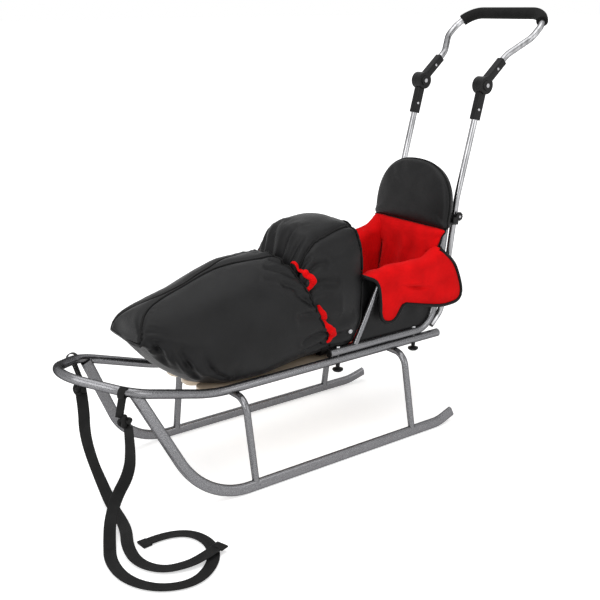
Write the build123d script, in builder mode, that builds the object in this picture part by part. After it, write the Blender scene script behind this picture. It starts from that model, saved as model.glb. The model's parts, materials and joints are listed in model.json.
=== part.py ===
from build123d import *
import math
import os

os.makedirs("parts", exist_ok=True)

# Child sled with a clip-on padded seat, a foot muff and a push handle.
# Millimetres. +X is forward, +Y is the sled's left side, +Z is up.
# The origin is on the floor, midway along, across and under the whole sled.

# Top frame: one tube bent round the nose, its two ends open to the rear
rail_end_x = -315.0
rail_height = 220.0
rail_half_track = 110.0
rail_diameter = 20.0
rail_wall = 1.5
kink_from_end = 661.0
nose_rise_angle = 16.0
flare_from_end = 858.0
flare_half_width = 130.0
apex_from_end = 988.0
kink_radius = 300.0
shoulder_radius = 90.0
nose_radius = 82.0

# Runners: flat oval tube, standing on the floor and leaning inwards
runner_height = 25.0
runner_width = 13.0
runner_wall = 1.5
runner_half_track = 177.0
runner_lean_angle = 13.2
runner_tail_from_end = 2.0
runner_tail_rise = 14.5
runner_tail_bend_from_end = 50.0
runner_tail_radius = 110.0
runner_corner_from_end = 728.0
runner_front_angle = 65.0
runner_front_radius = 169.0
runner_top_from_end = 848.0

# Bows: legs and cross tube in one bend, welded under the rails
bow_diameter = 16.0
bow_wall = 1.5
front_bow_from_end = 600.0
rear_bow_from_end = 139.0
bow_corner_half_width = 141.0
bow_bend_radius = 36.0
bow_foot_share = 0.75
weld_gap = 0.2

# Slats on the bows
slat_width = 56.0
slat_thickness = 12.0
slat_gap = 10.0
slat_rear_from_end = 25.0
slat_front_from_end = 672.0
slat_corner_radius = 24.0
slat_edge_radius = 2.5

# Seat frame: one tube on the rails, bent up round the back and the headrest
seat_tube_diameter = 20.0
seat_tube_wall = 1.5
seat_front_from_end = 345.0
seat_bend_radius = 62.0
back_foot_from_end = 22.5
back_angle = 8.25
back_arch_height = 521.0
back_arch_flat = 1.0
contact_gap = 0.3

# Arm tubes of the seat
arm_tube_diameter = 14.0
arm_foot_from_end = 271.0
arm_corner_from_end = 181.0
arm_height = 410.0
arm_bend_radius = 30.0

# Bolts and hand knobs that hold the seat on the rails
knob_from_end = (80.0, 320.0)
bolt_diameter = 6.0
bolt_hole_clearance = 0.25
bolt_seat_gap = 0.1
bolt_head_diameter = 11.0
bolt_head_height = 3.5
knob_stem_diameter = 11.0
knob_stem_length = 9.0
knob_head_diameter = 26.0
knob_head_height = 9.0
knob_head_chamfer = 3.0

# Plugs in the open tube ends
plug_rim = 3.0
plug_depth = 14.0
plug_fit = 0.1

# Pusher tubes behind the back, and the clamps that hold them
pusher_diameter = 15.0
pusher_wall = 1.3
pusher_half_track = 107.0
pusher_foot_from_end = 18.0
pusher_foot_height = 243.5
pusher_line_from_end = -16.0
pusher_line_height = 286.0
pusher_foot_rise = 32.0
pusher_foot_radius = 45.0
pusher_kink_height = 558.0
pusher_kink_radius = 200.0
clamp_below_arm = 60.0
clamp_below_arch = 13.0
clamp_heights = (arm_height - clamp_below_arm, back_arch_height - clamp_below_arch)
clamp_length = 24.0
clamp_wall = 2.5
clamp_knob_diameter = 17.0
clamp_knob_depth = 9.0
clamp_knob_edge = 2.0

# Handle hinges
pivot_from_end = -127.0
pivot_height = 826.0
hub_radius = 21.0
hub_thickness = 14.5
hub_reach = 16.0
hub_overlap_share = 0.5
hub_gap = 0.4
pin_diameter = 8.0
hub_boss_diameter = 25.0
hub_boss_height = 2.2
pin_head_diameter = 10.0
pin_head_height = 1.6
pin_clearance = 0.05
sleeve_width = 21.0
sleeve_corner = 5.0
sleeve_wall_clearance = 0.15
lower_sleeve_length = 84.0
upper_sleeve_length = 84.0
tube_insert = 58.0

# Push handle: flared tube loop with a foam grip
handle_diameter = 16.0
handle_wall = 1.3
handle_angle = 40.5
handle_half_width = 143.0
handle_reach = 254.0
handle_flare_start = handle_reach * 0.417
handle_flare_end = handle_reach * 0.661
handle_flare_radius = handle_reach * 0.177
handle_corner_radius = handle_reach * 0.236
grip_diameter = 29.0
grip_start_angle = 31.0

# Padded seat, muff and liner
pad_cover = 4.0
headrest_thickness = 44.0
headrest_drop = 34.0
headrest_bottom = back_arch_height - headrest_drop
headrest_corner_radius = 12.0
clamp_pocket_height = 37.0
clamp_pocket_depth = 14.0
soft_gap = 0.3
back_panel_thickness = 10.0
back_panel_bottom_share = 0.55
liner_head_drop = 38.0
liner_head_half = 122.0
back_panel_corner = 8.0
liner_corner = 12.0
liner_thickness = 22.0
seat_pad_thickness = 34.0
seat_pad_rear_gap = 24.0
seat_pad_corner = 20.0
seat_pad_edge = 8.0
seat_pad_front_from_end = 236.0
wing_outer_half_width = 136.0
wing_inner_half_width = 88.0
wing_slot_outer = 123.0
wing_slot_inner = 93.0
wing_slot_span = (-100.0, 300.0)
wing_slot_above_arm = 2.0
side_panel_thickness = 4.0
side_panel_rear_gap = (24.0, 14.0)
side_panel_front_gap = (30.0, 0.3)
side_panel_top_gap = (6.0, 16.0)
muff_wall = 12.0
muff_round_share = 0.48
muff_hollow_end = 730.0
muff_hem_from_end = 345.0
muff_hem_height = 270.0
muff_hem_angle = 26.0

# Tow strap: 25 mm webbing, in two lengths from the nose to the floor
strap_width = 25.0
strap_thickness = 3.0
strap_loop_along = 892.0
strap_loop_length = 46.0
strap_loop_width = 14.0
strap_loop_seat_gap = 0.7
strap_loop_radius = 14.0
strap_knot_width = 27.0
strap_knot_length = 28.0
strap_knot_radius = 8.0
strap_knot_edge = 3.0
strap_tab_size = (34.0, 9.0, 12.0)
strap_tie_size = (28.0, 20.0, 15.0)
strap_reach_share = 0.45


def from_end(distance):
    """X of a point that far ahead of the rails' rear end."""
    return rail_end_x + distance


def unit(angle):
    """Direction in the XZ plane at an angle above +X."""
    return Vector(math.cos(math.radians(angle)), 0, math.sin(math.radians(angle)))


def bent_tube(points, radii, outer_diameter, wall):
    """Round tube along straight runs joined by tangent arcs; wall 0 is solid."""
    with BuildPart() as tube:
        with BuildLine() as path:
            if len(points) == 2:
                Line(*points)
            else:
                FilletPolyline(*points, radius=radii)
        with BuildSketch(Plane(path.line @ 0, z_dir=path.line % 0)):
            Circle(outer_diameter / 2)
            if wall > 0:
                Circle(outer_diameter / 2 - wall, mode=Mode.SUBTRACT)
        sweep(path=path.line)
    return tube.part


def mirrored(points):
    """The same route on the other side of the sled."""
    return [(x, -y, z) for x, y, z in points]


def finish_part(piece, name):
    """Name a finished piece and write its file."""
    piece.label = name
    export_step(piece, f"parts/{name}.step")


# Top frame
rise = math.tan(math.radians(nose_rise_angle))


def rail_level(distance):
    """Height of the top frame's centreline that far from its rear end."""
    return rail_height + max(0.0, distance - kink_from_end) * rise


rail_side = [
    (from_end(0), rail_half_track, rail_height),
    (from_end(kink_from_end), rail_half_track, rail_height),
    (from_end(flare_from_end), flare_half_width, rail_level(flare_from_end)),
]
nose_point = (from_end(apex_from_end), 0, rail_level(apex_from_end))
rail_route = rail_side + [nose_point] + mirrored(rail_side)[::-1]
rail_radii = [kink_radius, shoulder_radius, nose_radius, shoulder_radius, kink_radius]
rail_stock = bent_tube(rail_route, rail_radii, rail_diameter, rail_wall)
rail_envelope = bent_tube(rail_route, rail_radii, rail_diameter + 2 * weld_gap, 0)

bolt_hole_diameter = bolt_diameter + 2 * bolt_hole_clearance
with BuildPart() as top_frame:
    add(rail_stock)
    with BuildSketch(Plane.XY.offset(rail_height - rail_diameter)):
        for distance in knob_from_end:
            with Locations(
                (from_end(distance), rail_half_track),
                (from_end(distance), -rail_half_track),
            ):
                Circle(bolt_hole_diameter / 2)
    extrude(amount=2 * rail_diameter, mode=Mode.SUBTRACT)
finish_part(top_frame.part, "top_frame")

# Runners
lean = math.radians(runner_lean_angle)
runner_base_z = runner_height / 2


def runner_point(side, distance, along):
    """Point on the runner's leaning plane; along is measured up that plane."""
    return (
        from_end(distance),
        side * (runner_half_track - along * math.sin(lean)),
        runner_base_z + along * math.cos(lean),
    )


front_run = runner_top_from_end - runner_corner_from_end
front_climb = front_run * math.tan(math.radians(runner_front_angle)) / math.cos(lean)
runner_parts = {}
runner_envelopes = {}
for side, name in ((1, "runner_left"), (-1, "runner_right")):
    runner_route = [
        runner_point(side, runner_tail_from_end, runner_tail_rise),
        runner_point(side, runner_tail_bend_from_end, 0),
        runner_point(side, runner_corner_from_end, 0),
        runner_point(side, runner_top_from_end, front_climb),
    ]
    up_the_plane = Vector(0, -side * math.sin(lean), math.cos(lean))
    for grow, store in ((0.0, runner_parts), (weld_gap, runner_envelopes)):
        with BuildPart() as runner:
            with BuildLine() as path:
                FilletPolyline(*runner_route, radius=[runner_tail_radius, runner_front_radius])
            tangent = path.line % 0
            across = up_the_plane - tangent * up_the_plane.dot(tangent)
            with BuildSketch(Plane(path.line @ 0, x_dir=across, z_dir=tangent)):
                SlotOverall(runner_height + 2 * grow, runner_width + 2 * grow)
                if grow == 0.0:
                    offset(amount=-runner_wall, mode=Mode.SUBTRACT)
            sweep(path=path.line)
        store[name] = runner.part
    with BuildPart() as runner_coped:
        add(runner_parts[name])
        add(rail_envelope, mode=Mode.SUBTRACT)
    finish_part(runner_coped.part, name)

# Bows
bow_cross_height = rail_height - rail_diameter / 2 - bow_diameter / 2 - weld_gap
foot_drop = runner_height * bow_foot_share
bow_foot_half_width = runner_half_track - (foot_drop - runner_base_z) * math.tan(lean)
for distance, name in ((front_bow_from_end, "bow_front"), (rear_bow_from_end, "bow_rear")):
    bow_side = [
        (from_end(distance), bow_foot_half_width, foot_drop),
        (from_end(distance), bow_corner_half_width, bow_cross_height),
    ]
    bow_route = bow_side + mirrored(bow_side)[::-1]
    bow_stock = bent_tube(bow_route, [bow_bend_radius] * 2, bow_diameter, bow_wall)
    with BuildPart() as bow:
        add(bow_stock)
        for envelope in runner_envelopes.values():
            add(envelope, mode=Mode.SUBTRACT)
        add(rail_envelope, mode=Mode.SUBTRACT)
    finish_part(bow.part, name)

# Slats
slat_base = bow_cross_height + bow_diameter / 2 + contact_gap
slat_length = slat_front_from_end - slat_rear_from_end
slat_mid_x = from_end((slat_front_from_end + slat_rear_from_end) / 2)
for place, name in ((1, "slat_left"), (0, "slat_middle"), (-1, "slat_right")):
    with BuildPart() as slat:
        with BuildSketch(Plane.XY.offset(slat_base)):
            with Locations((slat_mid_x, place * (slat_width + slat_gap))):
                RectangleRounded(slat_length, slat_width, slat_corner_radius)
        extrude(amount=slat_thickness)
        fillet(slat.faces().sort_by(Axis.Z)[-1].edges(), slat_edge_radius)
        fillet(slat.faces().sort_by(Axis.Z)[0].edges(), slat_edge_radius)
    finish_part(slat.part, name)
slat_top = slat_base + slat_thickness

# Seat frame
seat_level = rail_height + rail_diameter / 2 + seat_tube_diameter / 2 + contact_gap
recline = math.radians(back_angle)


def back_x(height, foot=back_foot_from_end):
    """X of the leaning back plane at a height, from its place at the seat level."""
    return from_end(foot) - (height - seat_level) * math.tan(recline)


arch_half = rail_half_track
arch_top = back_arch_height + arch_half * math.cos(recline)
seat_side = [
    (from_end(seat_front_from_end), rail_half_track, seat_level),
    (back_x(seat_level), rail_half_track, seat_level),
    (back_x(arch_top), rail_half_track, arch_top),
]
seat_route = seat_side + mirrored(seat_side)[::-1]
arch_radius = arch_half - back_arch_flat / 2
seat_radii = [seat_bend_radius, arch_radius, arch_radius, seat_bend_radius]
seat_stock = bent_tube(seat_route, seat_radii, seat_tube_diameter, seat_tube_wall)
seat_envelope = bent_tube(seat_route, seat_radii, seat_tube_diameter + 2 * soft_gap, 0)
seat_weld_envelope = bent_tube(seat_route, seat_radii, seat_tube_diameter + 2 * weld_gap, 0)
with BuildPart() as seat_frame:
    add(seat_stock)
    with BuildSketch(Plane.XY.offset(seat_level - seat_tube_diameter)):
        for distance in knob_from_end:
            with Locations(
                (from_end(distance), rail_half_track),
                (from_end(distance), -rail_half_track),
            ):
                Circle(bolt_hole_diameter / 2)
    extrude(amount=2 * seat_tube_diameter, mode=Mode.SUBTRACT)
finish_part(seat_frame.part, "seat_frame")

# Arm tubes
arm_foot = (from_end(arm_foot_from_end), rail_half_track, seat_level)
arm_corner = (from_end(arm_corner_from_end), rail_half_track, arm_height)
arm_root = (back_x(arm_height), rail_half_track, arm_height)
arm_route = [arm_foot, arm_corner, arm_root]
arm_envelopes = {}
for side, name in ((1, "arm_tube_left"), (-1, "arm_tube_right")):
    route = arm_route if side > 0 else mirrored(arm_route)
    arm_stock = bent_tube(route, [arm_bend_radius], arm_tube_diameter, 0)
    arm_envelopes[side] = bent_tube(
        route, [arm_bend_radius], arm_tube_diameter + 2 * soft_gap, 0
    )
    with BuildPart() as arm_tube:
        add(arm_stock)
        add(seat_weld_envelope, mode=Mode.SUBTRACT)
    finish_part(arm_tube.part, name)

# Plugs in the open ends of the seat frame and of the rails


def end_plug(point, direction, tube_diameter, wall):
    """Plastic plug: a rim over the tube's end and a spigot inside it."""
    face = Plane(Vector(*point), z_dir=direction)
    with BuildPart() as plug:
        with BuildSketch(face):
            Circle(tube_diameter / 2)
        extrude(amount=plug_rim)
        fillet(plug.faces().sort_by(Axis(face.origin, face.z_dir))[-1].edges(), plug_rim / 2)
        with BuildSketch(face):
            Circle(tube_diameter / 2 - wall - plug_fit)
        extrude(amount=-plug_depth)
    return plug.part


for side, word in ((1, "left"), (-1, "right")):
    seat_end = (from_end(seat_front_from_end), side * rail_half_track, seat_level)
    rail_end = (from_end(0), side * rail_half_track, rail_height)
    seat_plug = end_plug(seat_end, (1, 0, 0), seat_tube_diameter, seat_tube_wall)
    rail_plug = end_plug(rail_end, (-1, 0, 0), rail_diameter, rail_wall)
    finish_part(seat_plug, f"seat_plug_{word}")
    finish_part(rail_plug, f"rail_plug_{word}")

# Bolts with hand knobs
bolt_top = seat_level + seat_tube_diameter / 2 + bolt_seat_gap
knob_top = rail_height - rail_diameter / 2 - contact_gap
knob_end = knob_stem_length + knob_head_height
for side, word in ((1, "left"), (-1, "right")):
    with BuildPart() as bolts:
        for distance in knob_from_end:
            centre = (from_end(distance), side * rail_half_track)
            with BuildSketch(Plane.XY.offset(bolt_top)):
                with Locations(centre):
                    Circle(bolt_head_diameter / 2)
            extrude(amount=bolt_head_height, taper=12)
            with BuildSketch(Plane.XY.offset(bolt_top)):
                with Locations(centre):
                    Circle(bolt_diameter / 2)
            extrude(amount=knob_top - bolt_top)
    with BuildPart() as knobs:
        for distance in knob_from_end:
            with BuildSketch(Plane((from_end(distance), side * rail_half_track, knob_top),
                                   x_dir=(1, 0, 0), z_dir=(0, -1, 0))):
                with BuildLine():
                    Polyline(
                        (0, 0),
                        (knob_stem_diameter / 2, 0),
                        (knob_stem_diameter / 2 - 1, -knob_stem_length),
                        (knob_head_diameter / 2, -knob_stem_length - knob_head_chamfer),
                        (knob_head_diameter / 2, knob_head_chamfer - knob_end),
                        (knob_head_diameter / 2 - knob_head_chamfer, -knob_end),
                        (0, -knob_end),
                        close=True,
                    )
                make_face()
            revolve(axis=Axis((from_end(distance), side * rail_half_track, 0), (0, 0, 1)))
    finish_part(bolts.part, f"seat_bolts_{word}")
    finish_part(knobs.part, f"seat_knobs_{word}")

# Pusher tubes
pusher_lower_slope = math.tan(recline)
pusher_top = Vector(from_end(pivot_from_end), 0, pivot_height)


def pusher_line_x(height):
    """X of the pusher tube's centreline between its foot bend and its kink."""
    return from_end(pusher_line_from_end) - (height - pusher_line_height) * pusher_lower_slope


pusher_kink = (pusher_line_x(pusher_kink_height), pusher_half_track, pusher_kink_height)
upper_dir = (pusher_top - Vector(pusher_kink[0], 0, pusher_kink[2])).normalized()
pusher_end = pusher_top - upper_dir * (lower_sleeve_length - tube_insert)
foot_corner_height = pusher_foot_height + pusher_foot_rise
pusher_route = [
    (from_end(pusher_foot_from_end), pusher_half_track, pusher_foot_height),
    (pusher_line_x(foot_corner_height), pusher_half_track, foot_corner_height),
    pusher_kink,
    (pusher_end.X, pusher_half_track, pusher_end.Z),
]
pusher_radii = [pusher_foot_radius, pusher_kink_radius]
foot_start = Vector(*pusher_route[0])
foot_dir = (foot_start - Vector(*pusher_route[1])).normalized()
for side, word in ((1, "left"), (-1, "right")):
    route = pusher_route if side > 0 else mirrored(pusher_route)
    pusher = bent_tube(route, pusher_radii, pusher_diameter, pusher_wall)
    finish_part(pusher, f"pusher_{word}")
    foot_point = (foot_start.X, side * pusher_half_track, foot_start.Z)
    foot_plug = end_plug(foot_point, foot_dir, pusher_diameter, pusher_wall)
    finish_part(foot_plug, f"pusher_plug_{word}")

# Clamps between the back tube and the pusher tube
clamp_half = seat_tube_diameter / 2 + clamp_wall
for side, word in ((1, "left"), (-1, "right")):
    with BuildPart() as clamps:
        for height in clamp_heights:
            back_centre = Vector(back_x(height), side * rail_half_track, height)
            push_centre = Vector(pusher_line_x(height), side * pusher_half_track, height)
            along = Vector(-math.sin(recline), 0, math.cos(recline))
            clamp_plane = Plane(
                (back_centre + push_centre) / 2 - along * clamp_length / 2,
                x_dir=push_centre - back_centre,
                z_dir=along,
            )
            spacing = (push_centre - back_centre).length
            with BuildSketch(clamp_plane):
                SlotCenterToCenter(spacing, 2 * clamp_half)
                with Locations((-spacing / 2, 0)):
                    Circle(seat_tube_diameter / 2 + contact_gap, mode=Mode.SUBTRACT)
                with Locations((spacing / 2, 0)):
                    Circle(pusher_diameter / 2 + contact_gap, mode=Mode.SUBTRACT)
            extrude(amount=clamp_length)
        # Round knob on the upper clamp's outer side
        knob_face = Plane(
            clamp_plane.origin + along * clamp_length / 2 + Vector(0, side * clamp_half, 0),
            x_dir=along,
            z_dir=(0, side, 0),
        )
        with BuildSketch(knob_face):
            Circle(clamp_knob_diameter / 2)
        extrude(amount=clamp_knob_depth)
        knob_rim = clamps.faces().sort_by(Axis((0, 0, 0), (0, side, 0)))[-1].edges()
        fillet(knob_rim, clamp_knob_edge)
    finish_part(clamps.part, f"clamps_{word}")

# Hinge hubs: the lower half is fixed to the pusher, the upper half to the handle
handle_dir = unit(180.0 - handle_angle)


def hinge_half(side_y, inner_y, outer_y, direction, length, tube_diameter, insert):
    """Hub disc and square sleeve of one hinge half, with the tube's socket."""
    pivot = Vector(pusher_top.X, side_y, pusher_top.Z)
    sleeve_plane = Plane(pivot, x_dir=(0, 1, 0), z_dir=direction)
    with BuildPart() as half:
        with BuildSketch(sleeve_plane.offset(hub_radius * hub_overlap_share)):
            RectangleRounded(sleeve_width, sleeve_width, sleeve_corner)
        extrude(amount=length - hub_radius * hub_overlap_share)
        with BuildSketch(Plane.XZ.offset(-(side_y + inner_y))):
            with Locations((pivot.X, pivot.Z)):
                Circle(hub_radius + hub_gap)
        extrude(amount=-(outer_y - inner_y), mode=Mode.SUBTRACT)
        if inner_y >= 0:
            low, high = -hub_thickness, inner_y - hub_gap / 2
        else:
            low, high = outer_y + hub_gap / 2, hub_thickness
        with BuildSketch(Plane.XZ.offset(-(side_y + low))):
            with Locations((pivot.X, pivot.Z)):
                Circle(hub_radius)
        extrude(amount=-(high - low))
        outer_side = -1 if inner_y >= 0 else 1
        with BuildSketch(Plane.XZ.offset(-(side_y + outer_side * hub_thickness))):
            with Locations((pivot.X, pivot.Z)):
                Circle(hub_boss_diameter / 2)
        extrude(amount=-outer_side * hub_boss_height, taper=20)
        with BuildSketch(sleeve_plane.offset(length - insert - sleeve_wall_clearance)):
            Circle(tube_diameter / 2 + sleeve_wall_clearance)
        extrude(amount=insert + 1, mode=Mode.SUBTRACT)
        with BuildSketch(Plane.XZ.offset(-side_y)):
            with Locations((pivot.X, pivot.Z)):
                Circle(pin_diameter / 2 + pin_clearance)
        extrude(amount=2 * hub_thickness, both=True, mode=Mode.SUBTRACT)
    return half.part


for side, word in ((1, "left"), (-1, "right")):
    side_y = side * pusher_half_track
    lower = hinge_half(
        side_y, 0.0, hub_reach, -upper_dir, lower_sleeve_length, pusher_diameter, tube_insert
    )
    upper = hinge_half(
        side_y, -hub_reach, 0.0, handle_dir, upper_sleeve_length, handle_diameter, tube_insert
    )
    finish_part(lower, f"hinge_lower_{word}")
    finish_part(upper, f"hinge_upper_{word}")

# Hinge pins through both halves of each hinge
pin_grip = hub_thickness + hub_boss_height + hub_gap / 2
for side, word in ((1, "left"), (-1, "right")):
    side_y = side * pusher_half_track
    with BuildPart() as pin:
        for start, radius, length in (
            (-pin_grip, pin_diameter / 2, 2 * pin_grip),
            (-pin_grip - pin_head_height, pin_head_diameter / 2, pin_head_height),
            (pin_grip, pin_head_diameter / 2, pin_head_height),
        ):
            with BuildSketch(Plane.XZ.offset(-(side_y + start))):
                with Locations((pusher_top.X, pusher_top.Z)):
                    Circle(radius)
            extrude(amount=-length)
    finish_part(pin.part, f"hinge_pin_{word}")

# Push handle, laid out in the plane that leans back from the pivots


def handle_point(reach, half):
    """Point of the handle: distance from the pivots and half width."""
    point = pusher_top + handle_dir * reach
    return (point.X, half, point.Z)


handle_side = [
    handle_point(upper_sleeve_length - tube_insert, pusher_half_track),
    handle_point(handle_flare_start, pusher_half_track),
    handle_point(handle_flare_end, handle_half_width),
    handle_point(handle_reach, handle_half_width),
]
handle_route = handle_side + mirrored(handle_side)[::-1]
handle_radii = [handle_flare_radius, handle_flare_radius, handle_corner_radius]
handle = bent_tube(handle_route, handle_radii + handle_radii[::-1], handle_diameter, handle_wall)
finish_part(handle, "handle")

grip_mid = math.radians(grip_start_angle)
corner_reach = handle_reach - handle_corner_radius
corner_half = handle_half_width - handle_corner_radius
grip_start = handle_point(
    corner_reach + handle_corner_radius * math.sin(grip_mid),
    corner_half + handle_corner_radius * math.cos(grip_mid),
)
grip_bend = math.radians((grip_start_angle + 90.0) / 2)
grip_knee = handle_point(
    corner_reach + handle_corner_radius * math.sin(grip_bend),
    corner_half + handle_corner_radius * math.cos(grip_bend),
)
grip_run = handle_point(handle_reach, corner_half)
with BuildPart() as grip:
    with BuildLine() as grip_path:
        ThreePointArc(grip_start, grip_knee, grip_run)
        Line(grip_run, mirrored([grip_run])[0])
        ThreePointArc(*mirrored([grip_run, grip_knee, grip_start]))
    with BuildSketch(Plane(grip_path.line @ 0, z_dir=grip_path.line % 0)):
        Circle(grip_diameter / 2)
        Circle(handle_diameter / 2 + contact_gap, mode=Mode.SUBTRACT)
    sweep(path=grip_path.line)
finish_part(grip.part, "grip")

# Headrest: padded cover over the arch of the back tube
back_normal = Vector(math.cos(recline), 0, math.sin(recline))
pad_half = rail_half_track + seat_tube_diameter / 2 + pad_cover
headrest_plane = Plane(
    (back_x(headrest_bottom), 0, headrest_bottom), x_dir=(0, 1, 0), z_dir=back_normal
)
headrest_side = (back_arch_height - headrest_bottom) / math.cos(recline)
cover_back = seat_tube_diameter / 2 + pad_cover
with BuildPart() as headrest:
    with BuildSketch(headrest_plane.offset(-cover_back)):
        with BuildLine():
            Line((-pad_half, 0), (pad_half, 0))
            Line((pad_half, 0), (pad_half, headrest_side))
            RadiusArc((pad_half, headrest_side), (-pad_half, headrest_side), -pad_half)
            Line((-pad_half, headrest_side), (-pad_half, 0))
        make_face()
    extrude(amount=headrest_thickness)
    outline = headrest.edges().filter_by(GeomType.CIRCLE)
    fillet(outline, headrest_corner_radius)
    add(seat_envelope, mode=Mode.SUBTRACT)
    with BuildSketch(headrest_plane.offset(-cover_back)):
        for side in (1, -1):
            pocket_middle = (wing_slot_inner + pad_half + soft_gap) / 2
            with Locations((side * pocket_middle, clamp_pocket_height / 2)):
                Rectangle(pad_half + soft_gap - wing_slot_inner, clamp_pocket_height)
    extrude(amount=cover_back + clamp_pocket_depth, mode=Mode.SUBTRACT)
finish_part(headrest.part, "headrest")

# Back panel and liner between the back tubes
panel_bottom = seat_level + seat_bend_radius * back_panel_bottom_share
panel_half = wing_inner_half_width - contact_gap
panel_height = (headrest_bottom - soft_gap - panel_bottom) / math.cos(recline)
panel_plane = Plane(
    (back_x(panel_bottom), 0, panel_bottom), x_dir=(0, 1, 0), z_dir=back_normal
)
with BuildPart() as back_panel:
    with BuildSketch(panel_plane.offset(-back_panel_thickness / 2)):
        with Locations((0, panel_height / 2)):
            RectangleRounded(2 * panel_half, panel_height, back_panel_corner)
    extrude(amount=back_panel_thickness)
finish_part(back_panel.part, "back_panel")

with BuildPart() as back_liner:
    with BuildSketch(panel_plane.offset(back_panel_thickness / 2 + soft_gap)):
        with Locations((0, panel_height / 2)):
            RectangleRounded(2 * panel_half, panel_height, liner_corner)
        with Locations((0, panel_height - liner_head_drop / 2)):
            RectangleRounded(2 * liner_head_half, liner_head_drop, liner_corner)
    extrude(amount=liner_thickness)
    add(seat_envelope, mode=Mode.SUBTRACT)
finish_part(back_liner.part, "back_liner")

# Seat pad on the slats
seat_pad_rear = back_x(slat_top + seat_pad_thickness) + liner_thickness + seat_pad_rear_gap
seat_pad_front = from_end(seat_pad_front_from_end)
with BuildPart() as seat_pad:
    with BuildSketch(Plane.XY.offset(slat_top + contact_gap)):
        with Locations(((seat_pad_rear + seat_pad_front) / 2, 0)):
            RectangleRounded(seat_pad_front - seat_pad_rear, 2 * panel_half, seat_pad_corner)
    extrude(amount=seat_pad_thickness)
    fillet(seat_pad.faces().sort_by(Axis.Z)[-1].edges(), seat_pad_edge)
finish_part(seat_pad.part, "seat_pad")

# Side wings: padded saddles over the arm tubes
# columns: distance from the rails' rear end, height
wing_outline = [
    (15.0, 446.0),
    (-16.0, 424.0),
    (-45.0, 378.0),
    (-58.0, 330.0),
    (-44.0, 302.0),
    (2.0, 299.0),
    (136.0, 329.0),
    (149.0, 309.0),
    (163.0, 293.0),
    (191.0, 291.0),
    (208.0, 309.0),
    (211.0, 354.0),
    (217.0, 387.0),
    (235.0, 408.0),
    (182.0, 424.0),
    (53.0, 424.0),
]
slot_top = arm_height + wing_slot_above_arm
slot_length = wing_slot_span[1] - wing_slot_span[0]
slot_middle = (wing_slot_span[0] + wing_slot_span[1]) / 2
for side, word in ((1, "left"), (-1, "right")):
    outline_points = [(from_end(distance), height) for distance, height in wing_outline]
    with BuildPart() as wing:
        with BuildSketch(Plane.XZ.offset(-side * wing_outer_half_width)):
            Polygon(*outline_points, align=None)
        extrude(amount=side * (wing_outer_half_width - wing_inner_half_width))
        with BuildSketch(Plane.XZ.offset(-side * wing_slot_outer)):
            with Locations((from_end(slot_middle), (seat_level + slot_top) / 2)):
                Rectangle(slot_length, slot_top - seat_level)
        extrude(amount=side * (wing_slot_outer - wing_slot_inner), mode=Mode.SUBTRACT)
        add(arm_envelopes[side], mode=Mode.SUBTRACT)
        add(seat_envelope, mode=Mode.SUBTRACT)
    finish_part(wing.part, f"wing_{word}")

# Side panels of dark cloth below the arm tubes
seat_tube_top = seat_level + seat_tube_diameter / 2
for side, word in ((1, "left"), (-1, "right")):
    panel_outline = [
        (back_x(seat_level) + side_panel_rear_gap[0], seat_tube_top + side_panel_rear_gap[1]),
        (arm_foot[0] - side_panel_front_gap[0], seat_tube_top + side_panel_front_gap[1]),
        (arm_corner[0] - side_panel_top_gap[0], arm_height - arm_tube_diameter),
        (back_x(arm_height) + side_panel_top_gap[1], arm_height - arm_tube_diameter),
    ]
    with BuildPart() as side_panel:
        with BuildSketch(Plane.XZ.offset(-side * (rail_half_track + side_panel_thickness / 2))):
            Polygon(*panel_outline, align=None)
        extrude(amount=side * side_panel_thickness)
        add(seat_envelope, mode=Mode.SUBTRACT)
    finish_part(side_panel.part, f"side_panel_{word}")

# Foot muff: a padded bag closed at the toe, and a padded hood behind it, open to the seat
# columns: distance from the rails' rear end, half width, bottom, top
muff_floor = slat_top + contact_gap
bag_sections = [
    (340.0, 114.0, muff_floor, 462.0),
    (400.0, 119.0, muff_floor, 478.0),
    (470.0, 123.0, muff_floor, 486.0),
    (540.0, 122.0, muff_floor, 480.0),
    (610.0, 117.0, muff_floor, 463.0),
    (675.0, 108.0, 240.0, 441.0),
    (730.0, 96.0, 268.0, 418.0),
    (775.0, 80.0, 309.0, 396.0),
    (806.0, 64.0, 350.0, 362.0),
]
hood_sections = [
    (245.0, 112.0, muff_floor, 536.0),
    (285.0, 117.0, muff_floor, 544.0),
    (330.0, 118.0, muff_floor, 543.0),
    (372.0, 114.0, muff_floor, 529.0),
    (410.0, 105.0, muff_floor, 498.0),
    (440.0, 92.0, muff_floor, 455.0),
]


def padded_loft(sections, shrink, last_from_end):
    """Loft through rounded upright sections, shrunk by a wall."""
    with BuildPart() as body:
        for distance, half, bottom, top in sections:
            if distance <= last_from_end:
                height = top - bottom - 2 * shrink
                width = 2 * (half - shrink)
                middle = (bottom + top) / 2
                with BuildSketch(Plane((from_end(distance), 0, middle),
                                       x_dir=(0, 1, 0), z_dir=(1, 0, 0))):
                    RectangleRounded(width, height, muff_round_share * min(width, height))
        loft()
    return body.part


hem_foot = Vector(from_end(muff_hem_from_end), 0, muff_hem_height)
hem_normal = unit(-muff_hem_angle)
for sections, hollow_end, gap, keep, name in (
    (bag_sections, muff_hollow_end, 0.0, Keep.TOP, "muff_bag"),
    (hood_sections, hood_sections[-1][0], contact_gap, Keep.BOTTOM, "muff_hood"),
):
    outer = padded_loft(sections, 0.0, sections[-1][0])
    inner = padded_loft(sections, muff_wall, hollow_end)
    with BuildPart() as muff:
        add(outer)
        add(inner, mode=Mode.SUBTRACT)
        add(seat_envelope, mode=Mode.SUBTRACT)
        for envelope in arm_envelopes.values():
            add(envelope, mode=Mode.SUBTRACT)
        split(bisect_by=Plane(hem_foot - hem_normal * gap, z_dir=hem_normal), keep=keep)
        split(bisect_by=Plane.XY.offset(muff_floor), keep=Keep.TOP)
    finish_part(muff.part, name)

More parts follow.
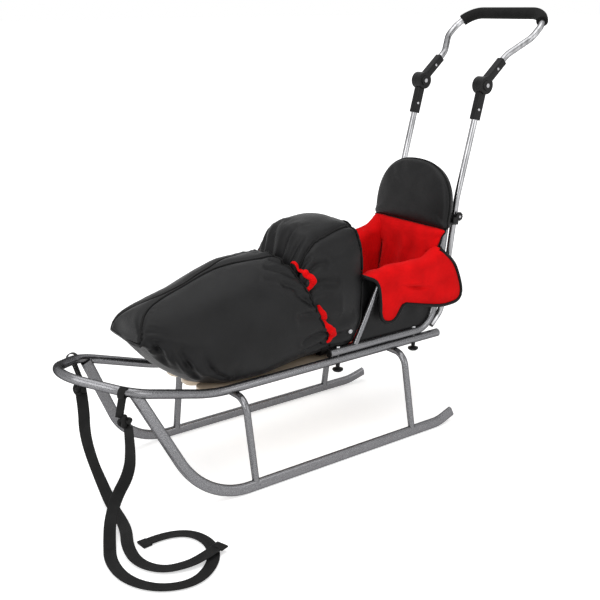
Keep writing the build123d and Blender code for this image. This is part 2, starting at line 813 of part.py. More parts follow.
# Tow strap: route points below each knot, in millimetres from the rails' rear end
# columns: distance from end, y, z
strap_left_route = [
    (880.0, 152.0, 158.0),
    (886.0, 140.0, 108.0),
    (905.0, 126.0, 66.0),
    (932.0, 142.0, 30.0),
    (956.0, 186.0, 14.0),
    (986.0, 252.0, 14.0),
    (988.0, 326.0, 14.0),
    (952.0, 386.0, 14.0),
    (888.0, 408.0, 14.0),
    (828.0, 372.0, 14.0),
    (796.0, 314.0, 14.0),
    (806.0, 252.0, 14.0),
    (856.0, 226.0, 14.0),
    (896.0, 229.0, 14.0),
]
strap_right_route = [
    (884.0, -62.0, 188.0),
    (894.0, -44.0, 138.0),
    (892.0, -20.0, 84.0),
    (886.0, 18.0, 34.0),
    (890.0, 66.0, 14.0),
    (898.0, 118.0, 14.0),
    (912.0, 172.0, 14.0),
    (938.0, 228.0, 14.0),
    (946.0, 286.0, 14.0),
    (920.0, 336.0, 14.0),
    (874.0, 354.0, 18.0),
    (838.0, 352.0, 40.0),
    (800.0, 340.0, 44.0),
]


def cord_radii(points):
    """Arc radii of a cord: 0.45 of the shorter run over the tangent of half the turn."""
    radii = []
    for before, corner, after in zip(points, points[1:], points[2:]):
        run_in = Vector(*corner) - Vector(*before)
        run_out = Vector(*after) - Vector(*corner)
        half_turn = math.radians(run_in.get_angle(run_out) / 2)
        radii.append(strap_reach_share * min(run_in.length, run_out.length) / math.tan(half_turn))
    return radii


with BuildLine() as rail_line:
    FilletPolyline(*rail_route, radius=rail_radii)
rail_wire = rail_line.wire()
rail_length = rail_wire.length

for strap_route, word, loop_place, end_name, end_size in (
    (strap_left_route, "left", strap_loop_along, "tow_tie", strap_tie_size),
    (strap_right_route, "right", rail_length - strap_loop_along, "tow_tab", strap_tab_size),
):
    route_points = [(from_end(distance), y, z) for distance, y, z in strap_route]
    rail_point = rail_wire.position_at(loop_place, position_mode=PositionMode.LENGTH)
    loop_dir = rail_wire.tangent_at(loop_place, position_mode=PositionMode.LENGTH)
    hang_dir = (Vector(*route_points[0]) - rail_point).normalized()
    loop_slack = strap_loop_radius - rail_diameter / 2 - strap_loop_seat_gap
    loop_centre = rail_point + hang_dir * loop_slack
    knot_top = loop_centre + hang_dir * (strap_loop_length + contact_gap)
    knot_base = knot_top + hang_dir * strap_knot_length
    points = [(knot_base.X, knot_base.Y, knot_base.Z)] + route_points
    radii = cord_radii(points)
    print("tow_strap", word, "radii", [round(radius) for radius in radii])
    strap = bent_tube(points, radii, strap_width, 0)
    finish_part(strap, f"tow_strap_{word}")

    # The knot at the strap's upper end, and the doubled loop from it over the rail
    with BuildPart() as knot:
        with BuildSketch(Plane(knot_base, z_dir=-hang_dir)):
            RectangleRounded(strap_knot_width, strap_knot_width, strap_knot_radius)
        extrude(amount=strap_knot_length)
        knot_upper = knot.faces().sort_by(Axis(knot_base, -hang_dir))[-1]
        fillet(knot_upper.edges(), strap_knot_edge)
    finish_part(knot.part, f"tow_knot_{word}")

    loop_normal = (loop_dir - hang_dir * loop_dir.dot(hang_dir)).normalized()
    outer_radius = strap_loop_radius + strap_thickness
    hang = strap_loop_length - outer_radius
    with BuildPart() as loop_band:
        with BuildSketch(Plane(loop_centre, x_dir=hang_dir, z_dir=loop_normal)):
            with Locations((hang / 2, 0)):
                SlotCenterToCenter(hang, 2 * outer_radius)
                SlotCenterToCenter(hang, 2 * strap_loop_radius, mode=Mode.SUBTRACT)
        extrude(amount=strap_loop_width / 2, both=True)
        add(rail_envelope, mode=Mode.SUBTRACT)
    finish_part(loop_band.part, f"tow_loop_{word}")

    end_dir = (Vector(*points[-1]) - Vector(*points[-2])).normalized()
    with BuildPart() as strap_end:
        with BuildSketch(
            Plane(Vector(*points[-1]), x_dir=Vector(0, 0, 1).cross(end_dir), z_dir=end_dir)
        ):
            RectangleRounded(end_size[0], end_size[1], end_size[1] / 3)
        extrude(amount=end_size[2])
    finish_part(strap_end.part, end_name)
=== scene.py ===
import json
import math

import bmesh
import bpy
from mathutils import Matrix, Vector, noise
from mathutils.bvhtree import BVHTree


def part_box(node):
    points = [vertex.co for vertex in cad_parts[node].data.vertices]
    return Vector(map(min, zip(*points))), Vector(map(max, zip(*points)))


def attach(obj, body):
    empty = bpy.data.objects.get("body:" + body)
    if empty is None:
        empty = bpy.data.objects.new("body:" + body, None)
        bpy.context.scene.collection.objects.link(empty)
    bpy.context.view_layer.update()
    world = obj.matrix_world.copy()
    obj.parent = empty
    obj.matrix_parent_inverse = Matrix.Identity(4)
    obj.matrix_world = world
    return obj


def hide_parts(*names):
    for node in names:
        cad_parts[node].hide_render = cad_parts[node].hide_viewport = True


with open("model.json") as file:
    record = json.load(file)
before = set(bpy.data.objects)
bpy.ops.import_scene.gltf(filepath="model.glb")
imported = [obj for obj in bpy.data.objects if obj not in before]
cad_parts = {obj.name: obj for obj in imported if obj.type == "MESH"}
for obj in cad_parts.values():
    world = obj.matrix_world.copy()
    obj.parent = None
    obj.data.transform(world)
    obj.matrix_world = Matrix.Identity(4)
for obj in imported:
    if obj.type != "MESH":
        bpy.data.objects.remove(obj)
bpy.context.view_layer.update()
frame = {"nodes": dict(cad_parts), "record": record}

# Metres. +X forward, +Y the sled's left, +Z up; x values in tables are ahead of the rails' rear end
RAIL_END_X = -0.315
SLAT_TOP = 0.2221
SEAT_LEVEL = 0.2403
SLED, HANDLE = "sled", "push_handle"
SIDES = ((1, "left"), (-1, "right"))
UP = Vector((0, 0, 1))


def at(x, y, z):
    """Point given ahead of the rails' rear end."""
    return Vector((x + RAIL_END_X, y, z))


def show(name, data):
    """New object in the scene."""
    made = bpy.data.objects.new(name, data)
    bpy.context.scene.collection.objects.link(made)
    return made


# Camera at the photograph's viewing angle
CAMERA_AZIMUTH = 53.635
CAMERA_ELEVATION = 17.232
CAMERA_ROLL = -0.38
CAMERA_DISTANCE = 2.27503
CAMERA_TARGET = at(0.3479, 0.0, 0.34442)
CAMERA_LENS = 57.384


def make_camera():
    azimuth, elevation = math.radians(CAMERA_AZIMUTH), math.radians(CAMERA_ELEVATION)
    back = Vector((
        math.cos(azimuth) * math.cos(elevation),
        math.sin(azimuth) * math.cos(elevation),
        math.sin(elevation),
    ))
    right = Vector((-math.sin(azimuth), math.cos(azimuth), 0.0))
    right = Matrix.Rotation(math.radians(CAMERA_ROLL), 3, back) @ right
    up = back.cross(right)
    place = CAMERA_TARGET + back * CAMERA_DISTANCE
    data = bpy.data.cameras.new("camera")
    data.lens = CAMERA_LENS
    data.sensor_width = 36.0
    camera = show("camera", data)
    turned_to = Matrix((right, up, back)).transposed().to_4x4()
    camera.matrix_world = Matrix.Translation(place) @ turned_to
    bpy.context.scene.camera = camera


make_camera()


# Materials
def add(tree, kind, values=None, operation=None):
    """New shader node, with values for its inputs."""
    made = tree.nodes.new(f"ShaderNode{kind}")
    if operation:
        made.operation = operation
    for socket, value in (values or {}).items():
        made.inputs[socket].default_value = value
    return made


def material(name, dark, light, rough, patch, metallic, bumps, stretch=(1, 1, 1), sheen=0.0,
             coat=0.0, anisotropic=0.0, specular=0.5, edge=1.0):
    """Principled surface: two colours mixed by noise, varying roughness, and a chain of bumps.

    bumps: (kind, scale per metre, strength, height in metres).
    """
    made = bpy.data.materials.new(name)
    made.use_nodes = True
    tree = made.node_tree
    tree.nodes.clear()
    link = tree.links.new
    out = add(tree, "OutputMaterial")
    shader = add(tree, "BsdfPrincipled", {
        "Metallic": metallic, "Sheen Weight": sheen, "Coat Weight": coat, "Coat Roughness": 0.12,
        "Anisotropic": anisotropic, "Specular IOR Level": specular,
        "Specular Tint": (edge, edge, edge, 1)})
    link(shader.outputs[0], out.inputs[0])
    coords = add(tree, "TexCoord").outputs["Object"]
    mapping = add(tree, "Mapping", {"Scale": stretch})
    link(coords, mapping.inputs[0])
    grain = add(tree, "TexNoise", {"Scale": patch, "Detail": 5.0})
    link(mapping.outputs[0], grain.inputs["Vector"])
    ramp = add(tree, "ValToRGB")
    for element, position, colour in zip(ramp.color_ramp.elements, (0.3, 0.7), (dark, light)):
        element.position, element.color = position, (*colour, 1)
    span = add(tree, "MapRange", {"To Min": rough[0], "To Max": rough[1]})
    for shade, target in ((ramp, "Base Color"), (span, "Roughness")):
        link(grain.outputs[0], shade.inputs[0])
        link(shade.outputs[0], shader.inputs[target])
    last = None
    for kind, scale, strength, height in bumps:
        bump = add(tree, "Bump", {"Strength": strength, "Distance": height})
        if kind == "noise":
            texture = add(tree, "TexNoise", {"Scale": scale, "Detail": 3.0})
            link(mapping.outputs[0], texture.inputs["Vector"])
            link(texture.outputs[0], bump.inputs["Height"])
        elif kind == "cells":
            texture = add(tree, "TexVoronoi", {"Scale": scale})
            link(coords, texture.inputs["Vector"])
            link(texture.outputs["Distance"], bump.inputs["Height"])
        else:
            # Weave: the product of diagonal bands in two directions
            product = add(tree, "Math", operation="MULTIPLY")
            for turn, socket in zip((0.785, -0.785), product.inputs):
                swivel = add(tree, "Mapping", {"Rotation": (turn, turn, turn)})
                wave = add(tree, "TexWave", {"Scale": scale, "Distortion": 0.4})
                link(coords, swivel.inputs[0])
                link(swivel.outputs[0], wave.inputs["Vector"])
                link(wave.outputs["Fac"], socket)
            link(product.outputs[0], bump.inputs["Height"])
        if last is not None:
            link(last.outputs[0], bump.inputs["Normal"])
        last = bump
    if last is not None:
        link(last.outputs[0], shader.inputs["Normal"])
    return made


# columns: two colours, roughness, scale of their grain, metallic, bumps, other settings
LOOKS = {
    "frame_paint": (
        (0.09, 0.09, 0.095), (0.27, 0.27, 0.28), (0.2, 0.32), 700.0, 0.92,
        (("noise", 700.0, 0.12, 0.0003),), {"edge": 0.03}),
    "bright_tube": (
        (0.2, 0.2, 0.205), (0.44, 0.44, 0.45), (0.14, 0.26), 110.0, 1.0,
        (("noise", 500.0, 0.06, 0.0002),), {"stretch": (1, 1, 0.06), "anisotropic": 0.3, "edge": 0.05}),
    "black_plastic": (
        (0.005, 0.005, 0.005), (0.009, 0.009, 0.0095), (0.3, 0.46), 60.0, 0.0,
        (("noise", 1500.0, 0.25, 0.0002),), {"specular": 0.16}),
    "grey_plastic": (
        (0.17, 0.17, 0.175), (0.24, 0.24, 0.25), (0.4, 0.55), 200.0, 0.2,
        (("noise", 1500.0, 0.2, 0.0002),), {}),
    "bolt_steel": (
        (0.3, 0.3, 0.31), (0.5, 0.5, 0.51), (0.2, 0.32), 300.0, 1.0,
        (("noise", 900.0, 0.1, 0.0002),), {"edge": 0.1}),
    "slat_wood": (
        (0.62, 0.47, 0.33), (0.82, 0.69, 0.54), (0.3, 0.42), 26.0, 0.0,
        (("noise", 160.0, 0.15, 0.0003),), {"stretch": (0.08, 1, 1), "coat": 0.35}),
    "foam_grip": (
        (0.008, 0.008, 0.008), (0.014, 0.014, 0.014), (0.7, 0.9), 80.0, 0.0,
        (("cells", 900.0, 0.35, 0.0006), ("noise", 60.0, 0.2, 0.001)), {"specular": 0.1}),
    "black_cloth": (
        (0.0075, 0.0075, 0.0078), (0.0125, 0.0125, 0.013), (0.38, 0.5), 14.0, 0.0,
        (("weave", 520.0, 0.25, 0.0002), ("noise", 55.0, 0.25, 0.002)), {"specular": 0.14}),
    "red_fleece": (
        (0.58, 0.003, 0.004), (0.74, 0.005, 0.006), (0.8, 0.95), 24.0, 0.0,
        (("noise", 900.0, 0.5, 0.0008), ("noise", 110.0, 0.3, 0.002)), {"sheen": 0.02, "specular": 0.06}),
    "strap_web": (
        (0.006, 0.006, 0.006), (0.012, 0.012, 0.012), (0.5, 0.65), 40.0, 0.0,
        (("weave", 330.0, 0.6, 0.0006),), {"specular": 0.12}),
    "piping": (
        (0.004, 0.004, 0.004), (0.008, 0.008, 0.008), (0.4, 0.55), 50.0, 0.0,
        (("weave", 600.0, 0.4, 0.0003),), {"specular": 0.1}),
}
FINISH = {name: material(name, *row[:-1], **row[-1]) for name, row in LOOKS.items()}
for part in frame["record"]["subparts"]:
    node = frame["nodes"][part["node"]]
    node.data.materials.clear()
    node.data.materials.append(FINISH[part["material_slot"]])


# Mesh helpers
def new_piece(name, verts, faces, slot, body=SLED, finish=None):
    """Smooth mesh object riding on its body, in its slot's finish unless another is named."""
    mesh = bpy.data.meshes.new(name)
    mesh.from_pydata([tuple(v) for v in verts], [], faces)
    mesh.validate()
    mesh.materials.append(FINISH[finish or slot])
    for polygon in mesh.polygons:
        polygon.use_smooth = True
    piece = show(name, mesh)
    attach(piece, body)
    return piece


def catmull(points, steps, closed=False):
    """Smooth line through points."""
    count = len(points)
    line = []
    for i in range(count if closed else count - 1):
        if closed:
            p0, p1, p2, p3 = (points[(i + k - 1) % count] for k in range(4))
        else:
            p0, p1 = points[max(i - 1, 0)], points[i]
            p2, p3 = points[i + 1], points[min(i + 2, count - 1)]
        for k in range(steps):
            t = k / steps
            line.append(0.5 * (
                2 * p1 + (p2 - p0) * t + (2 * p0 - 5 * p1 + 4 * p2 - p3) * t * t
                + (3 * p1 - p0 - 3 * p2 + p3) * t ** 3))
    if not closed:
        line.append(points[-1].copy())
    return line


def frames_along(line, closed, up):
    """Side and up vectors at each point of a line, kept near a given up."""
    out = []
    count = len(line)
    for i in range(count):
        if closed:
            tangent = line[(i + 1) % count] - line[i - 1]
        else:
            tangent = line[min(i + 1, count - 1)] - line[max(i - 1, 0)]
        tangent.normalize()
        aim = up[i] if isinstance(up, list) else up
        side = aim.cross(tangent)
        if side.length < 1e-4:
            side = tangent.orthogonal()
        side.normalize()
        out.append((side, tangent.cross(side)))
    return out


def sweep(name, line, section, slot, closed=False, up=UP, finish=None):
    """Section swept along a line: (side, up) pairs, or a function of a point's number giving them."""
    verts, faces = [], []
    for k, (point, (side, rise)) in enumerate(zip(line, frames_along(line, closed, up))):
        pairs = section(k) if callable(section) else section
        verts += [point + side * a + rise * b for a, b in pairs]
    n, m = len(line), len(pairs)
    for i in range(n if closed else n - 1):
        for j in range(m):
            a, b = i * m + j, i * m + (j + 1) % m
            c, d = ((i + 1) % n) * m + (j + 1) % m, ((i + 1) % n) * m + j
            faces.append((a, b, c, d))
    if not closed:
        faces.append(tuple(range(m - 1, -1, -1)))
        faces.append(tuple(range((n - 1) * m, n * m)))
    return new_piece(name, verts, faces, slot, finish=finish)


def ring(radius, count=10, squash=1.0):
    """Round section."""
    return [
        (radius * math.cos(2 * math.pi * k / count), squash * radius * math.sin(2 * math.pi * k / count))
        for k in range(count)
    ]


def pipe(name, line, radius, count=8, closed=True, up=UP):
    """Round piping along a line."""
    sweep(name, line, ring(radius, count), "black_cloth", closed, up, "piping")


def band(width, thickness, cup=0.0, count=20):
    """Flat section of webbing with rounded edges, slightly cupped."""
    pairs = []
    for k in range(count):
        angle = 2 * math.pi * k / count
        a = 0.5 * width * math.copysign(abs(math.cos(angle)) ** 0.35, math.cos(angle))
        b = 0.5 * thickness * math.copysign(abs(math.sin(angle)) ** 0.7, math.sin(angle))
        pairs.append((a, b + cup * (2 * a / width) ** 2))
    return pairs


# Tow strap: the route's points as in the CAD, in metres, lowered to lie flat on the floor
STRAP_WIDTH = 0.025
STRAP_THICKNESS = 0.0026


def nurbs_line(points):
    """Points of the smooth spline that has the route as its control points."""
    curve = bpy.data.curves.new("route", "CURVE")
    curve.dimensions = "3D"
    curve.resolution_u = 12
    spline = curve.splines.new("NURBS")
    spline.points.add(len(points) - 1)
    for slot_point, point in zip(spline.points, points):
        slot_point.co = (*point, 1)
    spline.order_u = 3
    spline.use_endpoint_u = True
    carrier = show("route", curve)
    bpy.context.view_layer.update()
    evaluated = carrier.evaluated_get(bpy.context.evaluated_depsgraph_get())
    mesh = bpy.data.meshes.new_from_object(evaluated)
    line = [v.co.copy() for v in mesh.vertices]
    bpy.data.objects.remove(carrier)
    bpy.data.meshes.remove(mesh)
    bpy.data.curves.remove(curve)
    return line


# columns: ahead of rails' end, y, z, then where the webbing's face looks, unless straight up
STRAP_LEFT = [
    (0.877, 0.139, 0.216, (0.9, 0.3, 0.2)), (0.88, 0.152, 0.158, (0.8, 0.6, 0.0)),
    (0.886, 0.14, 0.108, (0.6, 0.8, 0.0)), (0.905, 0.126, 0.066, (0.6, 0.7, 0.3)),
    (0.932, 0.142, 0.026, (0.2, 0.3, 0.9)), (0.956, 0.186, 0.003), (0.986, 0.252, 0.003),
    (0.988, 0.326, 0.003), (0.952, 0.386, 0.003), (0.888, 0.408, 0.003),
    (0.828, 0.372, 0.003), (0.796, 0.314, 0.003), (0.806, 0.252, 0.003),
    (0.856, 0.226, 0.003), (0.896, 0.229, 0.003),
]
STRAP_RIGHT = [
    (0.878, -0.088, 0.229, (0.3, 0.9, 0.2)), (0.884, -0.062, 0.188, (0.4, 0.8, 0.3)),
    (0.894, -0.044, 0.138, (0.6, 0.6, 0.3)), (0.892, -0.02, 0.084, (0.7, 0.4, 0.4)),
    (0.886, 0.018, 0.03, (0.5, 0.2, 0.8)), (0.89, 0.066, 0.004), (0.898, 0.118, 0.004),
    (0.912, 0.172, 0.008), (0.938, 0.228, 0.008), (0.946, 0.286, 0.004),
    (0.92, 0.336, 0.004), (0.874, 0.354, 0.008), (0.838, 0.352, 0.011),
    (0.8, 0.34, 0.011),
]


def strap(name, route, node):
    """Webbing along a route, its face turned smoothly between the route's directions."""
    line = nurbs_line([at(*row[:3]) for row in route])
    aims = [Vector(row[3]).normalized() if len(row) > 3 else UP for row in route]
    ups = []
    for k in range(len(line)):
        t = k / (len(line) - 1) * (len(route) - 1)
        i = min(int(t), len(route) - 2)
        ups.append(aims[i].lerp(aims[i + 1], t - i).normalized())
    piece = sweep(name, line, band(STRAP_WIDTH, STRAP_THICKNESS, 0.001), "strap_web", up=ups)
    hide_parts(node)
    return piece, line


straps = {
    word: strap(f"strap_{word}", route, f"tow_strap_{word}")
    for word, route in (("left", STRAP_LEFT), ("right", STRAP_RIGHT))}


# Light, floor and background
def lamp(name, place, aim, size, power):
    data = bpy.data.lights.new(name, "AREA")
    data.shape = "RECTANGLE"
    data.size, data.size_y = size
    data.energy = power
    made = show(name, data)
    made.location = place
    made.rotation_euler = (Vector(aim) - Vector(place)).to_track_quat("-Z", "Y").to_euler()


lamp("lamp_top", (0.3, 0.2, 2.6), (0.0, 0.0, 0.2), (2.6, 2.2), 34)
lamp("lamp_front", (2.4, 0.8, 1.5), (0.0, 0.0, 0.4), (1.6, 1.8), 26)
lamp("lamp_side", (-0.6, 2.6, 1.2), (0.0, 0.0, 0.4), (1.8, 1.6), 16)


def rays_seen(tree):
    """1 for camera, glossy and transmission rays."""
    path = add(tree, "LightPath")
    seen = path.outputs["Is Camera Ray"]
    for ray in ("Is Glossy Ray", "Is Transmission Ray"):
        either = add(tree, "Math", operation="MAXIMUM")
        tree.links.new(seen, either.inputs[0])
        tree.links.new(path.outputs[ray], either.inputs[1])
        seen = either.outputs[0]
    return seen


WORLD_LIGHT = 0.45
FLOOR_HALF, FLOOR_Z, FLOOR_GREY = 60.0, -0.0005, 0.86
WHITE = (1, 1, 1, 1)


def make_world():
    """Even light on the object, and white where the background shows."""
    world = bpy.data.worlds.new("studio")
    bpy.context.scene.world = world
    world.use_nodes = True
    tree = world.node_tree
    tree.nodes.clear()
    mix, out = add(tree, "MixShader"), add(tree, "OutputWorld")
    tree.links.new(rays_seen(tree), mix.inputs[0])
    for number, strength in ((1, WORLD_LIGHT), (2, 1.0)):
        tree.links.new(add(tree, "Background", {0: WHITE, 1: strength}).outputs[0], mix.inputs[number])
    tree.links.new(mix.outputs[0], out.inputs[0])


def make_floor():
    """Pale floor that glows towards white away from the sled."""
    mesh = bpy.data.meshes.new("floor")
    corners = ((-1, -1), (1, -1), (1, 1), (-1, 1))
    mesh.from_pydata([(FLOOR_HALF * x, FLOOR_HALF * y, FLOOR_Z) for x, y in corners], [], [(0, 1, 2, 3)])
    finish = bpy.data.materials.new("floor")
    finish.use_nodes = True
    tree = finish.node_tree
    tree.nodes.clear()
    out = add(tree, "OutputMaterial")
    diffuse = add(tree, "BsdfDiffuse", {0: (FLOOR_GREY, FLOOR_GREY, FLOOR_GREY, 1)})
    glow = add(tree, "Emission", {0: WHITE})
    level = add(tree, "Math", operation="MULTIPLY")
    reach = add(tree, "VectorMath", operation="LENGTH")
    glow_by = add(tree, "MapRange", {"From Min": 0.9, "From Max": 3.0, "To Min": 0.5, "To Max": 1.0})
    both = add(tree, "AddShader")
    for source, target in (
            (add(tree, "TexCoord").outputs["Object"], reach.inputs[0]),
            (reach.outputs["Value"], glow_by.inputs["Value"]), (glow_by.outputs[0], level.inputs[1]),
            (rays_seen(tree), level.inputs[0]), (level.outputs[0], glow.inputs[1]),
            (diffuse.outputs[0], both.inputs[0]), (glow.outputs[0], both.inputs[1]),
            (both.outputs[0], out.inputs[0])):
        tree.links.new(source, target)
    mesh.materials.append(finish)
    floor = show("floor", mesh)


make_world()
make_floor()

bpy.context.scene.view_settings.view_transform = "Standard"


# Strap knots, loops and ends
KNOT_SPREAD, KNOT_WAVE, KNOT_CORD, KNOT_STEPS = 0.0078, 0.003, 0.0052, 120
LOOP_RADIUS, LOOP_TURN, LOOP_STEPS = 0.0117, 165, 24


def knot(name, centre, axis):
    """Tied knot: three crossing turns of webbing."""
    axis = axis.normalized()
    side = axis.orthogonal().normalized()
    other = axis.cross(side)
    line = []
    for k in range(KNOT_STEPS):
        t = 2 * math.pi * k / KNOT_STEPS
        radius = KNOT_SPREAD + KNOT_WAVE * math.cos(3 * t)
        line.append(
            centre + side * radius * math.cos(2 * t) * 0.95 + other * radius * math.sin(2 * t) * 0.95
            + axis * KNOT_SPREAD * math.sin(3 * t))
    return sweep(name, line, ring(KNOT_CORD, 12, 0.8), "strap_web", closed=True, up=axis)


for side, word in SIDES:
    piece, line = straps[word]
    low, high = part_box(f"tow_knot_{word}")
    centre = (low + high) / 2
    tie = knot(f"knot_{word}", centre, line[0] - centre)
    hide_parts(f"tow_knot_{word}")
    rail_point = at(0.8765, side * 0.1225, 0.2808)
    rail_dir = Vector((0.62, side * -0.76, 0.17)).normalized()
    drop = centre - rail_point
    drop -= rail_dir * drop.dot(rail_dir)
    low_point = rail_point + drop.normalized() * (drop.length - 0.006)
    drop.normalize()
    across = rail_dir.cross(drop)
    loop_line = [low_point + across * -0.003]
    for k in range(LOOP_STEPS + 1):
        turn = math.radians(2 * LOOP_TURN * k / LOOP_STEPS - LOOP_TURN)
        loop_line.append(rail_point - drop * LOOP_RADIUS * math.cos(turn)
                         + across * LOOP_RADIUS * math.sin(turn))
    loop_line = catmull(loop_line + [low_point + across * 0.003], 3)
    loop_piece = sweep(f"loop_{word}", loop_line, band(0.015, 0.0022), "strap_web",
                       up=[(p - rail_point).normalized() for p in loop_line])
    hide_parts(f"tow_loop_{word}")
    end_node, end_name, thickness = (
        ("tow_tie", "strap_tie", 0.006) if side > 0 else ("tow_tab", "strap_tab", 0.0045))
    end_dir = (line[-1] - line[-2]).normalized()
    end_line = [line[-1] + end_dir * (0.0045 * k - 0.004) for k in range(5)]
    end_piece = sweep(end_name, end_line, band(0.029, thickness, count=28), "strap_web")
    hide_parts(end_node)


# Soft parts: helpers
def hermite(table, x):
    """Row values of a table at x, smooth and without overshoot."""
    rows = sorted(table)
    if x <= rows[0][0]:
        return rows[0][1:]
    if x >= rows[-1][0]:
        return rows[-1][1:]
    i = max(k for k in range(len(rows) - 1) if rows[k][0] <= x)
    width = rows[i + 1][0] - rows[i][0]
    t = (x - rows[i][0]) / width
    out = []
    for c in range(1, len(rows[0])):
        def slope(k):
            if k in (0, len(rows) - 1):
                j = min(k, len(rows) - 2)
                return (rows[j + 1][c] - rows[j][c]) / (rows[j + 1][0] - rows[j][0])
            before = (rows[k][c] - rows[k - 1][c]) / (rows[k][0] - rows[k - 1][0])
            after = (rows[k + 1][c] - rows[k][c]) / (rows[k + 1][0] - rows[k][0])
            if before * after <= 0:
                return 0.0
            return 2 * before * after / (before + after)
        out.append(
            (2 * t ** 3 - 3 * t * t + 1) * rows[i][c] + (t ** 3 - 2 * t * t + t) * width * slope(i)
            + (3 * t * t - 2 * t ** 3) * rows[i + 1][c] + (t ** 3 - t * t) * width * slope(i + 1))
    return out


def soft_step(edge0, edge1, value):
    t = min(max((value - edge0) / (edge1 - edge0), 0.0), 1.0)
    return t * t * (3 - 2 * t)


def ripple(x, y, z, size):
    """Smooth noise between about -1 and 1."""
    return noise.noise(Vector((x, y, z)) / size)


def grid_faces(rows, columns, offset=0, flip=False):
    """Quads of a grid that is closed along its columns."""
    faces = []
    for i in range(rows - 1):
        for j in range(columns):
            a, b = offset + i * columns + j, offset + i * columns + (j + 1) % columns
            c, d = b + columns, a + columns
            faces.append((a, d, c, b) if flip else (a, b, c, d))
    return faces


def inflate(piece, pinned, pressure, frames, cap, stiffness=12.0):
    """Cloth simulation of a piece under light pressure, applied, with each point's move capped."""
    group = piece.vertex_groups.new(name="pinned")
    group.add(pinned, 1.0, "REPLACE")
    rest = [v.co.copy() for v in piece.data.vertices]
    modifier = piece.modifiers.new("cloth", "CLOTH")
    settings = modifier.settings
    settings.quality = 4
    settings.mass = 0.12
    settings.tension_stiffness = stiffness
    settings.compression_stiffness = stiffness
    settings.shear_stiffness = 4.0
    settings.bending_stiffness = 0.3
    settings.use_pressure = True
    settings.uniform_pressure_force = pressure
    settings.effector_weights.gravity = 0.0
    settings.vertex_group_mass = "pinned"
    modifier.collision_settings.use_collision = False
    scene = bpy.context.scene
    scene.frame_start, scene.frame_end = 1, frames
    for number in range(1, frames + 1):
        scene.frame_set(number)
    evaluated = piece.evaluated_get(bpy.context.evaluated_depsgraph_get())
    moved = [v.co.copy() for v in evaluated.data.vertices]
    piece.modifiers.remove(modifier)
    scene.frame_set(1)
    for vertex, before, after in zip(piece.data.vertices, rest, moved):
        shift = after - before
        if shift.length > cap:
            shift *= cap / shift.length
        vertex.co = before + shift
    piece.vertex_groups.remove(group)
    piece.data.update()


def displace(piece, depth):
    """Move each vertex along its normal by depth(point, index)."""
    mesh = piece.data
    mesh.update()
    normals = [v.normal.copy() for v in mesh.vertices]
    for vertex, normal in zip(mesh.vertices, normals):
        vertex.co = vertex.co + normal * depth(vertex.co, vertex.index)
    mesh.update()


def tidy_normals(piece):
    bm = bmesh.new()
    bm.from_mesh(piece.data)
    bmesh.ops.recalc_face_normals(bm, faces=bm.faces)
    bm.to_mesh(piece.data)
    bm.free()


def surface_tree(*pieces_in):
    verts, faces = [], []
    for piece in pieces_in:
        start = len(verts)
        verts += [v.co.copy() for v in piece.data.vertices]
        faces += [tuple(start + i for i in p.vertices) for p in piece.data.polygons]
    return BVHTree.FromPolygons(verts, faces)


def settle(line, tree, lift):
    """Points moved onto a surface, then off it by lift."""
    out = []
    for point in line:
        hit, normal, _, _ = tree.find_nearest(point)
        outward = point - hit
        if outward.length < 1e-6 or outward.dot(normal) < 0:
            outward = normal
        out.append(hit + outward.normalized() * lift)
    return out


def eased(line):
    """Line with each point drawn halfway to its neighbours."""
    return [(a + b * 2 + c) / 4 for a, b, c in zip([line[0]] + line[:-1], line, line[1:] + [line[-1]])]


def two_sided(rows, columns, flip=False):
    """Faces of two grids of points, one behind the other, then of the strip round their border."""
    layer, faces = rows * columns, []
    for start, back in ((0, flip), (layer, not flip)):
        for i in range(rows - 1):
            for j in range(columns - 1):
                a = start + i * columns + j
                quad = (a, a + 1, a + columns + 1, a + columns)
                faces.append(quad[::-1] if back else quad)
    border = list(range(columns)) + [i * columns + columns - 1 for i in range(1, rows)]
    border += [(rows - 1) * columns + j for j in range(columns - 2, -1, -1)]
    border += [i * columns for i in range(rows - 2, 0, -1)]
    for a, b in zip(border, border[1:] + border[:1]):
        faces.append((a, layer + a, layer + b, b))
    return faces


# Foot muff
# columns: ahead of rails' end, half width, bottom, top, upper and lower roundness
BAG = [
    (0.34, 0.114, SLAT_TOP, 0.457, 2.3, 3.0), (0.4, 0.119, SLAT_TOP, 0.4705, 2.3, 3.3),
    (0.47, 0.123, SLAT_TOP, 0.4795, 2.2, 4.0), (0.54, 0.123, SLAT_TOP, 0.477, 2.2, 5.2),
    (0.61, 0.118, SLAT_TOP, 0.461, 2.2, 4.8), (0.675, 0.109, 0.231, 0.4375, 2.1, 3.2),
    (0.73, 0.098, 0.264, 0.42, 2.2, 2.6), (0.77, 0.083, 0.305, 0.4055, 2.4, 2.3),
    (0.788, 0.077, 0.3245, 0.3935, 2.7, 2.3), (0.799, 0.072, 0.3355, 0.379, 2.9, 2.5),
    (0.806, 0.068, 0.3405, 0.357, 3.0, 2.8),
]
HOOD = [
    (0.245, 0.112, SLAT_TOP, 0.533, 3.0, 4.2), (0.285, 0.118, SLAT_TOP, 0.5425, 2.8, 4.2),
    (0.33, 0.119, SLAT_TOP, 0.5465, 2.5, 4.0), (0.362, 0.117, SLAT_TOP, 0.544, 2.5, 3.4),
    (0.384, 0.113, SLAT_TOP, 0.534, 2.4, 3.0), (0.398, 0.109, SLAT_TOP, 0.517, 2.3, 2.8),
    (0.408, 0.105, SLAT_TOP, 0.495, 2.2, 2.6), (0.422, 0.097, SLAT_TOP, 0.455, 2.1, 2.4),
]
HEM_X, HEM_Z, HEM_SLOPE = 0.345, 0.27, 0.488
WIDEST = 0.47


